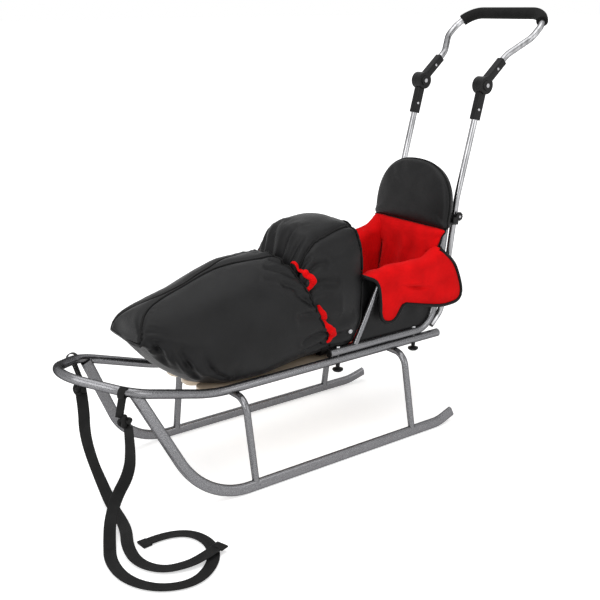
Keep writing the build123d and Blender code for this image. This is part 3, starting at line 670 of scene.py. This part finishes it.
def muff_point(table, x, angle, shrink=0.0):
    half, bottom, top, upper, lower = hermite(table, x)
    half, bottom, top = half - shrink, bottom + shrink, max(top - shrink, bottom + shrink + 0.002)
    c, s = math.cos(angle), math.sin(angle)
    power = 2 / (upper if s >= 0 else lower)
    middle = bottom + (top - bottom) * WIDEST
    rise = (top - middle) if s >= 0 else (middle - bottom)
    return at(
        x, half * math.copysign(abs(c) ** power, c),
        middle + rise * math.copysign(abs(s) ** power, s))


def hem_x(table, angle, ahead):
    """Where the slanted hem crosses the section at an angle."""
    x = 0.4
    for _ in range(12):
        x = 0.5 * x + 0.5 * (HEM_X + (muff_point(table, x, angle).z - HEM_Z) * HEM_SLOPE + ahead)
    return x


# columns: ahead of rails' end, angle up from the side, in degrees
BAG_SEAM = [(0.4, 76), (0.468, 77), (0.555, 83), (0.596, 87), (0.65, 88), (0.7, 87), (0.745, 82),
            (0.775, 71), (0.793, 53), (0.803, 16)]
HOOD_SEAM = [(0.255, 64), (0.29, 58), (0.323, 53), (0.365, 48), (0.392, 44), (0.418, 41)]
# Creases, as runs between two places; columns: x, angle, x, angle, width, depth
BAG_FOLDS = [
    (0.7783, -1, 0.7707, -20, 0.0085, 0.0062), (0.7707, -20, 0.756, -40, 0.0085, 0.0062),
    (0.73, -4, 0.7121, -21, 0.008, 0.0052), (0.7121, -21, 0.69, -38, 0.008, 0.0052),
    (0.682, -4, 0.664, -20, 0.008, 0.0038), (0.664, -20, 0.63, -34, 0.008, 0.0034),
    (0.5012, 45, 0.4656, 36, 0.006, 0.0026), (0.4656, 36, 0.4214, 26, 0.006, 0.0048),
    (0.49, 59, 0.4369, 45, 0.0055, 0.004), (0.44, 24, 0.4, 12, 0.0055, 0.0048),
    (0.44, 3, 0.38, 2, 0.006, 0.0048), (0.425, -15, 0.364, -10, 0.0055, 0.0045),
    (0.41, -29, 0.35, -24, 0.006, 0.004), (0.465, 68, 0.435, 60, 0.005, 0.0035),
    (0.45, 90, 0.425, 90, 0.008, 0.003), (0.395, -42, 0.35, -38, 0.006, 0.0035),
]
HOOD_FOLDS = [
    (0.398, 12, 0.33, 8, 0.006, 0.0055), (0.386, 1, 0.33, -2, 0.0055, 0.005),
    (0.37, -8, 0.2825, -6, 0.006, 0.0048), (0.408, 28, 0.355, 25, 0.006, 0.0052),
    (0.418, 41, 0.39, 36, 0.005, 0.0045), (0.36, -22, 0.3, -20, 0.0065, 0.0045),
    (0.36, -38, 0.295, -36, 0.006, 0.004), (0.418, 60, 0.39, 58, 0.006, 0.004),
    (0.418, 80, 0.385, 78, 0.007, 0.0036), (0.33, 30, 0.27, 34, 0.01, 0.003),
]


def folded(angle):
    """Angle on the near side that mirrors an angle on either side."""
    return math.atan2(math.sin(angle), abs(math.cos(angle)))


def seam_gap(table, seam, x, angle):
    """Distance over the surface from a point to the nearer seam."""
    return (folded(angle) - math.radians(hermite(seam, x)[0])) * hermite(table, x)[0]


def creased(folds, table, x, angle):
    """Depth of the creases at a place, with the cloth between them slightly raised."""
    half = hermite(table, x)[0]
    around = folded(angle) * half
    deep = 0.0
    for x0, a0, x1, a1, width, depth in folds:
        b0, b1 = math.radians(a0) * half, math.radians(a1) * half
        if min(x0, x1) - 0.04 < x < max(x0, x1) + 0.04:
            run, rise = x1 - x0, b1 - b0
            t = min(max(((x - x0) * run + (around - b0) * rise) / (run * run + rise * rise), 0.0), 1.0)
            away = math.hypot(x - x0 - run * t, around - b0 - rise * t)
            ease = 0.35 + 0.65 * math.sin(math.pi * (0.15 + 0.7 * t))
            deep += 1.35 * depth * ease * (
                0.45 * math.exp(-((away - 2.1 * width) / width) ** 2) - math.exp(-(away / width) ** 2))
    return deep


LINING_INSET, LINING_SHARE, END_BULGE = 0.008, 0.22, 0.003
PADDING = 0.01


def muff_shell(name, table, start, stop, rows, depth, seam, node, closed=False):
    """Padded shell: an outer skin shaped by seams, gathers and cloth, and a fleece lining."""
    columns = MUFF_COLUMNS
    params, verts = [], []
    for i in range(rows):
        for j in range(columns):
            angle = 2 * math.pi * j / columns
            x0, x1 = start(angle), stop(angle)
            x = x0 + (x1 - x0) * i / (rows - 1)
            params.append((x, angle, x - x0))
            verts.append(muff_point(table, x, angle))
    outer = new_piece(name, verts, grid_faces(rows, columns), "black_cloth")
    displace(outer, lambda p, k: depth(p, *params[k]))
    pinned = [
        k for k, (x, angle, _) in enumerate(params)
        if abs(seam_gap(table, seam, x, angle)) < 0.004
        or k // columns in (0, rows - 2, rows - 1) or verts[k].z < SLAT_TOP + 0.012]
    inflate(outer, pinned, 1.6, 14, 0.007)
    outer.data.update()
    skin = [v.co.copy() for v in outer.data.vertices]
    normals = [v.normal.copy() for v in outer.data.vertices]
    bpy.data.objects.remove(outer)
    # The lining follows the skin at the padding's thickness, so that no fold comes through it
    lining = []
    for k, ((x, _, _), point, normal) in enumerate(zip(params, skin, normals)):
        _, bottom, top, _, _ = hermite(table, x)
        inset = LINING_INSET * ((k // columns) / (rows - 1)) ** 4
        thickness = min(PADDING, LINING_SHARE * (top - bottom))
        lining.append(point - normal * thickness - Vector((inset, 0, 0)))
    for _ in range(3):
        for i in range(1, rows - 1):
            row = [lining[i * columns + j] for j in range(columns)]
            for j in range(columns):
                beside = row[j - 1] + row[(j + 1) % columns]
                ends = lining[(i - 1) * columns + j] + lining[(i + 1) * columns + j]
                lining[i * columns + j] = row[j] * 0.5 + (beside + ends) * 0.125
    count, last = rows * columns, (rows - 1) * columns
    verts = skin + lining
    faces = grid_faces(rows, columns, flip=True) + grid_faces(rows, columns, count)
    for j in range(columns):
        k = (j + 1) % columns
        faces.append((j, k, count + k, count + j))
        if not closed:
            faces.append((last + k, last + j, count + last + j, count + last + k))
    if closed:
        # Blunt sewn end: rings that close on a middle point, for the skin and for the lining
        for layer, points, bulge in ((0, skin, END_BULGE), (count, lining, 0.0)):
            centre = sum(points[-columns:], Vector()) / columns
            here = layer + last
            for share in (0.85, 0.6, 0.3):
                then = len(verts)
                for p in points[-columns:]:
                    verts.append(centre + (p - centre) * share + Vector((bulge * (1 - share ** 2), 0, 0)))
                for j in range(columns):
                    k = (j + 1) % columns
                    quad = (here + j, here + k, then + k, then + j)
                    faces.append(quad if layer else quad[::-1])
                here = then
            verts.append(centre + Vector((bulge, 0, 0)))
            for j in range(columns):
                tri = (here + j, here + (j + 1) % columns, len(verts) - 1)
                faces.append(tri if layer else tri[::-1])
    for v in verts:
        v.z = max(v.z, SLAT_TOP + 0.0006)
    piece = new_piece(name, verts, faces, "black_cloth")
    piece.data.materials.append(FINISH["red_fleece"])
    for number, polygon in enumerate(piece.data.polygons):
        # The lining's first three rows are the edge of the outer cloth
        if last + 3 * columns <= number < 2 * last:
            polygon.material_index = 1
    tidy_normals(piece)
    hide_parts(node)
    return piece, skin


def bag_depth(point, x, angle, from_hem):
    gap = seam_gap(BAG, BAG_SEAM, x, angle)
    deep = -0.004 * math.exp(-(gap / 0.007) ** 2)
    deep += 0.0018 * math.exp(-((abs(gap) - 0.024) / 0.015) ** 2)
    deep += 0.0034 * ripple(x * 0.6, point.y, point.z, 0.07)
    gather = ripple(math.cos(angle) * 3.0, math.sin(angle) * 3.0, x * 3, 0.16)
    deep += 0.004 * gather * math.exp(-from_hem / 0.04)
    return deep + creased(BAG_FOLDS, BAG, x, angle)


def hood_depth(point, x, angle, from_rim):
    gap = seam_gap(HOOD, HOOD_SEAM, x, angle)
    to_hem = hem_x(HOOD, angle, 0.0) - x
    deep = -0.004 * math.exp(-(gap / 0.006) ** 2)
    deep += 0.0018 * math.exp(-((abs(gap) - 0.022) / 0.014) ** 2)
    deep += 0.0036 * ripple(point.x, point.y, point.z, 0.06)
    gather = ripple(math.cos(angle) * 3.2, math.sin(angle) * 3.2, x * 2, 0.17)
    deep += 0.005 * gather * math.exp(-max(to_hem, 0.0) / 0.04)
    deep -= 0.004 * math.exp(-from_rim / 0.01)
    return deep + creased(HOOD_FOLDS, HOOD, x, angle)


TOE_X = 0.806
ARM_FOOT_X, ARM_SLOPE, ARM_CLEAR, RIM_X = 0.271, 0.5294, 0.015, 0.2465
BAG_ROWS, HOOD_ROWS, MUFF_COLUMNS = 112, 66, 176


def rim_x(angle):
    """The hood's rear rim, which sweeps forward at its lower sides to clear the arm's strut."""
    height = muff_point(HOOD, 0.262, angle).z
    clear = ARM_FOOT_X - (height - SEAT_LEVEL) * ARM_SLOPE + ARM_CLEAR
    return max(RIM_X, clear) + 0.003 * math.cos(3 * angle)


bag, bag_skin = muff_shell("foot_bag", BAG, lambda a: hem_x(BAG, a, 0.0), lambda a: TOE_X, BAG_ROWS,
                           bag_depth, BAG_SEAM, "muff_bag", closed=True)
hood, hood_skin = muff_shell("foot_hood", HOOD, rim_x, lambda a: max(hem_x(HOOD, a, 0.022), 0.33),
                             HOOD_ROWS, hood_depth, HOOD_SEAM, "muff_hood")
bag_tree, hood_tree = surface_tree(bag), surface_tree(hood)

for side, side_word in SIDES:
    for word, table, seam, tree in (("bag", BAG, BAG_SEAM, bag_tree), ("hood", HOOD, HOOD_SEAM, hood_tree)):
        line = []
        for k in range(90):
            x = seam[0][0] + (seam[-1][0] - seam[0][0]) * k / 89
            angle = math.radians(hermite(seam, x)[0])
            angle = angle if side > 0 else math.pi - angle
            covered = x < hem_x(BAG, angle, 0.0) if word == "bag" else x > hem_x(HOOD, angle, 0.004)
            if not covered:
                line.append(muff_point(table, x, angle))
        pipe(f"{word}_piping_{side_word}", eased(settle(line, tree, 0.0004)), 0.0031, 10, closed=False)
for name, skin, tree, lift, back, radius in (
        ("hood_rim", hood_skin, hood_tree, 0.0012, 0.001, 0.0026),
        ("bag_hem", bag_skin, bag_tree, 0.0006, 0.0, 0.0022)):
    line = settle([Vector(v) for v in skin[:MUFF_COLUMNS]], tree, lift)
    line = [Vector((p.x - back, p.y, max(p.z, SLAT_TOP + 0.003))) for p in line]
    pipe(name, line, radius)

# Red edge of the lining that the drawcord gathers along the bag's hem, turned out and folded.
# columns: ahead of rails' end, angle up from the side, width
RUFFLES = {
    "upper": [
        (0.4151, 58.3, 0.005), (0.4106, 47.1, 0.009), (0.4061, 36.6, 0.012),
        (0.4002, 27.4, 0.015), (0.3937, 21.4, 0.0175), (0.392, 16.9, 0.016),
        (0.3968, 15.1, 0.011), (0.403, 16.3, 0.01), (0.4014, 13.2, 0.006)],
    "lower": [
        (0.3823, 0, 0.006), (0.375, -2, 0.012), (0.3665, -4.5, 0.015), (0.368, -7.5, 0.012),
        (0.364, -10, 0.013), (0.354, -12.5, 0.016), (0.344, -15, 0.018), (0.34, -19, 0.019),
        (0.345, -24, 0.015), (0.356, -28.5, 0.008)],
}
outer_tree = surface_tree(bag, hood)


def on_muff(x, angle):
    """Outermost muff surface at a place, and the direction that it faces."""
    base = muff_point(HOOD, x, angle)
    outward = Vector((0.25, math.cos(angle), math.sin(angle))).normalized()
    hit, _, _, _ = outer_tree.ray_cast(base + outward * 0.05, -outward, 0.08)
    return (hit or base), outward


for side, side_word in SIDES:
    for word, rows in RUFFLES.items():
        line, ups, sizes = [], [], []
        for row in catmull([Vector(row) for row in rows], 9):
            turn = math.radians(row[1])
            place, facing = on_muff(row[0], turn if side > 0 else math.pi - turn)
            line.append(place + facing * 0.003)
            ups.append(facing)
            sizes.append(row[2])
        for _ in range(6):
            line = eased(line)

        def ruffled(k):
            """Section that widens, narrows and tips along the edge."""
            size = sizes[k] * (1 + 0.14 * math.sin(k * 0.45) * math.sin(k * 0.17 + 1))
            tilt = 0.22 * math.sin(k * 0.3 + side)
            return [(a * size, (b + a * tilt) * size) for a, b in band(1.0, 0.3, -0.12, 18)]

        tidy_normals(sweep(f"ruffle_{word}_{side_word}", line, ruffled, "red_fleece", up=ups))


# Padded seat
BACK_FOOT, RECLINE = 0.0225, math.radians(8.25)
BACK_UP = Vector((-math.sin(RECLINE), 0, math.cos(RECLINE)))
BACK_OUT = Vector((math.cos(RECLINE), 0, math.sin(RECLINE)))


def back_point(across, height_along, out):
    """Point given on the leaning back plane: y, distance up from the seat tube, distance ahead."""
    return at(BACK_FOOT, across, SEAT_LEVEL) + BACK_UP * height_along + BACK_OUT * out


PIPE_RADIUS = 0.0021


def pillow(name, outline, place, front, back, slot, node, piping, depth=None, roundness=3.0,
           pressure=2.0, cap=0.006, steps=4):
    """Crowned pad inside a star-shaped outline, piped at its seam; place(u, v, out) puts it in space."""
    rings = 26
    cu = sum(p[0] for p in outline) / len(outline)
    cv = sum(p[1] for p in outline) / len(outline)
    loop = catmull([Vector((u, v, 0)) for u, v in outline], steps, closed=True)
    count = len(loop)
    order = [(r / rings, 1) for r in range(1, rings + 1)] + [(r / rings, -1) for r in range(rings - 1, 0, -1)]
    verts = [place(cu, cv, front + (depth(cu, cv, 0.0) if depth else 0.0))]
    for share, face in order:
        crown = (1 - share ** roundness) ** 0.5
        for p in loop:
            u, v = cu + (p.x - cu) * share, cv + (p.y - cv) * share
            extra = depth(u, v, share) * crown if depth and face > 0 else 0.0
            verts.append(place(u, v, crown * (front if face > 0 else -back) + extra))
    last = len(verts)
    verts.append(place(cu, cv, -back))
    faces = [(0, 1 + j, 1 + (j + 1) % count) for j in range(count)]
    faces += grid_faces(len(order), count, 1, flip=True)
    tail = 1 + (len(order) - 1) * count
    faces += [(tail + (j + 1) % count, tail + j, last) for j in range(count)]
    piece = new_piece(name, verts, faces, slot)
    tidy_normals(piece)
    seam_ring = range(1 + (rings - 1) * count, 1 + rings * count)
    inflate(piece, list(seam_ring), pressure, 12, cap)
    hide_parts(node)
    seam = [piece.data.vertices[k].co.copy() for k in seam_ring]
    pipe(piping, seam, PIPE_RADIUS)


def rounded(points, radius, steps=5):
    """Closed outline with its corners rounded."""
    out = []
    count = len(points)
    for i in range(count):
        p0, p1, p2 = (Vector((*points[(i + k - 1) % count], 0)) for k in range(3))
        reach = min(radius, (p1 - p0).length * 0.45, (p2 - p1).length * 0.45)
        a, b = p1 + (p0 - p1).normalized() * reach, p1 + (p2 - p1).normalized() * reach
        for k in range(steps):
            t = k / (steps - 1)
            q = a * (1 - t) ** 2 + p1 * 2 * t * (1 - t) + b * t * t
            out.append((q.x, q.y))
    return out


SEAM_LEVEL = 0.25
# columns: half width, distance up from the seat tube
HEAD_EDGE = [
    (0.1275, SEAM_LEVEL), (0.13, 0.268), (0.1312, 0.289), (0.13, 0.309), (0.126, 0.33),
    (0.1185, 0.349), (0.106, 0.368), (0.09, 0.383), (0.07, 0.3945), (0.042, 0.4035),
]
head_outline = [(-u, v) for u, v in HEAD_EDGE] + [(0.0, 0.407)] + HEAD_EDGE[::-1]
head_outline += [(u, SEAM_LEVEL - 0.0005) for u in (0.06, 0.0, -0.06)]
pillow("headrest_pad", head_outline, lambda u, v, out: back_point(u, v, out + 0.012), 0.015, 0.026,
       "black_cloth", "headrest", "headrest_piping",
       lambda u, v, s: 0.0012 * ripple(u, v * 0.5, 0.3, 0.03), roundness=10.0, pressure=1.2, cap=0.003)

LINER_LOW, LINER_HALF = 0.036, 0.086
LINER_EDGE = [
    (LINER_HALF, LINER_LOW + 0.012), (LINER_HALF, 0.1), (LINER_HALF, 0.16), (LINER_HALF + 0.0005, 0.184),
    (0.096, 0.19), (0.106, 0.1945), (0.1115, 0.202), (0.116, 0.214), (0.121, 0.231),
    (0.127, SEAM_LEVEL - 0.0012),
]
liner_outline = LINER_EDGE + [(u, SEAM_LEVEL) for u in (0.06, 0.0, -0.06)]
liner_outline += [(-u, v) for u, v in LINER_EDGE[::-1]]
liner_outline += [(-LINER_HALF + 0.012, LINER_LOW), (LINER_HALF - 0.012, LINER_LOW)]


def liner_depth(u, v, share):
    """Soft upright folds where the cover is pulled between the wings."""
    low = soft_step(0.235, 0.15, v)
    folds = math.sin(u * 74 + 2.4 * ripple(u, v * 0.5, 0, 0.09)) * 0.5
    folds += 0.5 * math.sin(u * 121 + 1.7 + 2.0 * ripple(u, v * 0.4, 2, 0.07))
    return 0.007 * folds * low + 0.002 * ripple(u, v, 0.7, 0.05)


pillow("back_cushion", liner_outline, lambda u, v, out: back_point(u, v, out + 0.015), 0.012, 0.0036,
       "red_fleece", "back_liner", "back_cushion_piping", liner_depth, roundness=12.0,
       pressure=1.4, cap=0.003, steps=5)
PANEL_TOP = 0.253
panel_outline = rounded([
    (-LINER_HALF, LINER_LOW), (LINER_HALF, LINER_LOW), (LINER_HALF, PANEL_TOP), (-LINER_HALF, PANEL_TOP)],
    0.012)
pillow("back_shell", panel_outline, lambda u, v, out: back_point(u, v, out - 0.001), 0.004, 0.006,
       "black_cloth", "back_panel", "back_piping", roundness=8.0)
PAD_REAR, PAD_FRONT = 0.075, 0.235
pad_outline = rounded([
    (PAD_REAR, -LINER_HALF), (PAD_FRONT, -LINER_HALF), (PAD_FRONT, LINER_HALF), (PAD_REAR, LINER_HALF)],
    0.022)
pillow("seat_cushion", pad_outline, lambda u, v, out: at(u, v, SLAT_TOP + 0.014 + out), 0.02, 0.0135,
       "red_fleece", "seat_pad", "seat_piping", roundness=6.0)

# The cover's cloth between the back and the seat, tucked under the seat's rear edge
TUCK = [(0.036, 0.292), (0.04, 0.27), (0.048, 0.253), (0.061, 0.2425), (0.079, 0.2385)]
tuck_line = catmull([at(x, 0, z) for x, z in TUCK], 6)
TUCK_HALF, TUCK_COLUMNS, TUCK_THICKNESS = 0.0845, 36, 0.0022
verts = []
for lift in (0.0, -TUCK_THICKNESS):
    for k, (point, (_, rise)) in enumerate(zip(tuck_line, frames_along(tuck_line, False, UP))):
        for j in range(TUCK_COLUMNS + 1):
            across = TUCK_HALF * (2 * j / TUCK_COLUMNS - 1)
            soft = 0.0016 * ripple(across, k * 0.004, 5.0, 0.03)
            verts.append(point + Vector((0, across, 0)) + rise * (lift + soft))
tuck = new_piece("seat_tuck", verts, two_sided(len(tuck_line), TUCK_COLUMNS + 1), "red_fleece")
tidy_normals(tuck)

# Side wings: padded saddles over the arm tubes; columns: ahead of rails' end, height
FLAP_EDGE = [
    (0.015, 0.443), (0.001, 0.43), (-0.0165, 0.416), (-0.033, 0.3965), (-0.044, 0.3745),
    (-0.053, 0.351), (-0.0583, 0.33), (-0.0572, 0.315), (-0.05, 0.305), (-0.038, 0.3005),
    (-0.018, 0.2985), (0.01, 0.299), (0.04, 0.3045), (0.08, 0.3135), (0.113, 0.3215),
    (0.13, 0.3255), (0.14, 0.322), (0.1494, 0.3088), (0.158, 0.297), (0.168, 0.2905),
    (0.18, 0.289), (0.193, 0.2925), (0.2035, 0.302), (0.2085, 0.318), (0.21, 0.34),
    (0.2125, 0.365), (0.217, 0.385), (0.227, 0.4005), (0.2375, 0.4065),
]
NEAR_RIDGE = [
    (0.015, 0.447), (0.023, 0.44), (0.037, 0.433), (0.056, 0.4265), (0.085, 0.424),
    (0.126, 0.4245), (0.165, 0.4248), (0.2, 0.4205), (0.23, 0.4155), (0.25, 0.412),
]
FAR_RIDGE = [
    (0.012, 0.487), (0.023, 0.4755), (0.039, 0.465), (0.06, 0.4605), (0.085, 0.457),
    (0.126, 0.442), (0.165, 0.43), (0.2, 0.4215), (0.23, 0.4155), (0.25, 0.412),
]
INNER_EDGE = [
    (0.008, 0.453), (0.012, 0.4), (0.019, 0.35), (0.027, 0.3), (0.042, 0.27),
    (0.09, 0.266), (0.14, 0.266), (0.19, 0.266), (0.235, 0.2665), (0.249, 0.28),
    (0.2515, 0.32), (0.252, 0.36), (0.252, 0.395), (0.251, 0.408),
]
WING_MIDDLE, WING_HALF, WING_TURN, WING_ROUND = 0.112, 0.0235, 0.024, 2.3
WING_COLUMNS, FLAP_ROWS, INNER_ROWS = 110, 34, 26
FOLD_X, FOLD_Z, FOLD_SLOPE = 0.0985, 0.3625, 0.25


def even_line(points, count):
    """Smooth line through points, cut into even steps."""
    fine = catmull([Vector((x, z, 0)) for x, z in points], 12)
    marks = [0.0]
    for a, b in zip(fine, fine[1:]):
        marks.append(marks[-1] + (b - a).length)
    out, k = [], 0
    for i in range(count):
        goal = marks[-1] * i / (count - 1)
        while k < len(fine) - 2 and marks[k + 1] < goal:
            k += 1
        span = max(marks[k + 1] - marks[k], 1e-9)
        out.append(fine[k].lerp(fine[k + 1], min(max((goal - marks[k]) / span, 0.0), 1.0)))
    return out


def wing(side, word, top_line):
    """Saddle of padded fleece: a flap outside the arm tube, a ridge over it, and an inner face."""
    columns, rows = WING_COLUMNS, FLAP_ROWS + INNER_ROWS - 1
    flap, ridge, inner = (even_line(points, columns) for points in (FLAP_EDGE, top_line, INNER_EDGE))
    skin, edge_gap = [], []
    for i in range(columns):
        for j in range(rows):
            if j < FLAP_ROWS:
                point, face, edge = flap[i].lerp(ridge[i], j / (FLAP_ROWS - 1)), 1, flap[i]
            else:
                t = (j - FLAP_ROWS + 1) / (INNER_ROWS - 1)
                point, face, edge = ridge[i].lerp(inner[i], t), -1, inner[i]
            turn = 1 - min((point - ridge[i]).length / WING_TURN, 1.0)
            across = WING_HALF * (1 - turn ** WING_ROUND) ** (1 / WING_ROUND)
            gap = min((point - edge).length, (columns - 1 - i) * 0.0024, i * 0.004 + 0.004)
            edge_gap.append(gap)
            swell = soft_step(0.0, 0.03, gap)
            if face > 0:
                fold = point.y - FOLD_Z - FOLD_SLOPE * (point.x - FOLD_X)
                reach = math.exp(-((point.x - FOLD_X) / 0.03) ** 2)
                crease = reach * (0.0042 * math.exp(-((fold - 0.009) / 0.006) ** 2)
                                  - 0.0085 * math.exp(-(fold / 0.0042) ** 2))
                crease += 0.002 * ripple(point.x, point.y, 3.0, 0.045) * swell
            else:
                crease = 0.0024 * math.sin(point.x * 95 + 2 * ripple(point.x, point.y, 1, 0.06)) * swell
            flat = 1 - turn ** 2
            y = WING_MIDDLE + face * (across + (0.005 * swell - 0.004 + crease) * flat)
            skin.append(at(point.x, side * y, point.y + (crease + 0.001 * swell) * (1 - flat)))
    sheet_faces = (columns - 1) * (rows - 1)
    draft = new_piece(
        f"wing_{word}_draft", skin, two_sided(columns, rows)[:sheet_faces], "red_fleece")
    draft.data.update()
    normals = [v.normal.copy() for v in draft.data.vertices]
    if normals[(columns // 2) * rows + FLAP_ROWS // 2].y * side < 0:
        normals = [-n for n in normals]
    bpy.data.objects.remove(draft)
    lining = [
        point - normal * (0.0016 + 0.0054 * soft_step(0.0, 0.028, gap))
        for point, normal, gap in zip(skin, normals, edge_gap)]
    piece = new_piece(
        f"wing_pad_{word}", skin + lining, two_sided(columns, rows, flip=True), "red_fleece")
    piece.data.materials.append(FINISH["black_cloth"])
    for polygon in piece.data.polygons:
        if sheet_faces <= polygon.index < 2 * sheet_faces:
            polygon.material_index = 1
    tidy_normals(piece)
    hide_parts(f"wing_{word}")
    front = [i * rows for i in range(columns)] + [(columns - 1) * rows + j for j in range(1, rows)]
    line = [(skin[k] + lining[k]) / 2 + Vector((0, side * 0.0012, 0)) for k in front[::2]]
    pipe(f"wing_piping_{word}", line, 0.0042, 10, closed=False, up=Vector((0, 1, 0.01)))


wing(1, "left", NEAR_RIDGE)
wing(-1, "right", FAR_RIDGE)

# Dark cloth panels between the arm, seat and back tubes
BEND_X, BEND_Z, BEND_EDGE = 0.0762, 0.3023, 0.0518
SIDE_LOW, SIDE_HIGH, SIDE_Y, SIDE_HALF_THICK = 0.2509, 0.4005, 0.11, 0.0009
REAR_CLEAR, FRONT_CLEAR = 0.0104, 0.0088
SIDE_COLUMNS, SIDE_ROWS = 40, 30
for side, word in SIDES:
    verts = []
    for skin in (SIDE_HALF_THICK, -SIDE_HALF_THICK):
        for i in range(SIDE_ROWS + 1):
            t = i / SIDE_ROWS
            z = SIDE_LOW + (SIDE_HIGH - SIDE_LOW) * t
            if z < BEND_Z - BEND_EDGE * math.sin(RECLINE):
                rear = BEND_X - math.sqrt(max(BEND_EDGE ** 2 - (BEND_Z - z) ** 2, 0.0))
            else:
                rear = BACK_FOOT - (z - SEAT_LEVEL) * math.tan(RECLINE) + REAR_CLEAR
            front = ARM_FOOT_X - (z - SEAT_LEVEL) * ARM_SLOPE - FRONT_CLEAR
            for j in range(SIDE_COLUMNS + 1):
                x = rear + (front - rear) * j / SIDE_COLUMNS
                wave = 0.004 * ripple(x, 0, z * 0.6, 0.045) * math.sin(math.pi * t)
                verts.append(at(x, side * (SIDE_Y + wave + skin), z))
    cloth = new_piece(f"side_cloth_{word}", verts, two_sided(SIDE_ROWS + 1, SIDE_COLUMNS + 1), "black_cloth")
    tidy_normals(cloth)
    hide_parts(f"side_panel_{word}")


# Small fittings: turned shapes, as (radius, height) pairs along an axis
def turned(name, place, axis, profile, slot, body=SLED, cross=0.0, lobes=0):
    """Turned piece on a surface; cross cuts a cross slot into its top, lobes scallop its rim."""
    axis = Vector(axis).normalized()
    side = axis.orthogonal().normalized()
    other = axis.cross(side)
    count = 48
    verts, faces = [], []
    for radius, height in profile:
        for j in range(count):
            angle = 2 * math.pi * j / count
            reach = radius * (1 + (0.06 * math.cos(lobes * angle) if lobes and radius > 0.004 else 0.0))
            dip = cross if min(abs(math.sin(angle)), abs(math.cos(angle))) < 0.3 and radius < 0.0026 else 0.0
            verts.append(place + side * reach * math.cos(angle) + other * reach * math.sin(angle)
                         + axis * (height - dip))
    rows = len(profile)
    faces = grid_faces(rows, count)
    faces += [tuple(range(count - 1, -1, -1)), tuple((rows - 1) * count + j for j in range(count))]
    tidy_normals(new_piece(name, verts, faces, slot, body))


SCREW = [(0.0032, -0.0006), (0.0033, 0.0004), (0.003, 0.001), (0.0024, 0.0013), (0.0016, 0.0015),
         (0.0008, 0.0016)]
KNOB = [(0.005, -0.001), (0.0052, 0.0025), (0.01, 0.003), (0.0108, 0.0042), (0.0108, 0.009),
        (0.0098, 0.0102), (0.005, 0.0106), (0.003, 0.0106)]
STUD = [(0.0052, -0.001), (0.0056, 0.0008), (0.005, 0.002), (0.004, 0.0016), (0.0034, 0.0008),
        (0.0026, 0.0014), (0.0012, 0.0018)]
HINGE_OUT, HINGE_IN, CROSS_SLOT = 0.1175, 0.0965, 0.0006
KNOB_X, KNOB_Z = -0.3605, 0.5159
for side, word in SIDES:
    for spot, x, z, body in (("upper", -0.4835, 0.8629, HANDLE), ("lower", -0.4229, 0.7695, SLED)):
        for face, y, way in (("outer", HINGE_OUT, side), ("inner", HINGE_IN, -side)):
            turned(f"screw_{spot}_{face}_{word}", Vector((x, side * y, z)), (0, way, 0), SCREW,
                   "bolt_steel", body, CROSS_SLOT)
    turned(f"clamp_knob_{word}", Vector((KNOB_X, side * 0.1199, KNOB_Z)), (0, side, 0), KNOB,
           "black_plastic", lobes=10)
    turned(f"clamp_screw_{word}", Vector((KNOB_X, side * 0.1303, KNOB_Z)), (0, side, 0), SCREW,
           "bolt_steel", cross=CROSS_SLOT)
    stud_on, stud_facing, _, _ = hood_tree.ray_cast(
        Vector((-0.0255, side * 0.2, 0.2857)), Vector((0, -side, 0)))
    stud_facing = stud_facing if stud_facing.y * side > 0 else -stud_facing
    turned(f"muff_stud_{word}", stud_on, stud_facing, STUD, "bolt_steel")
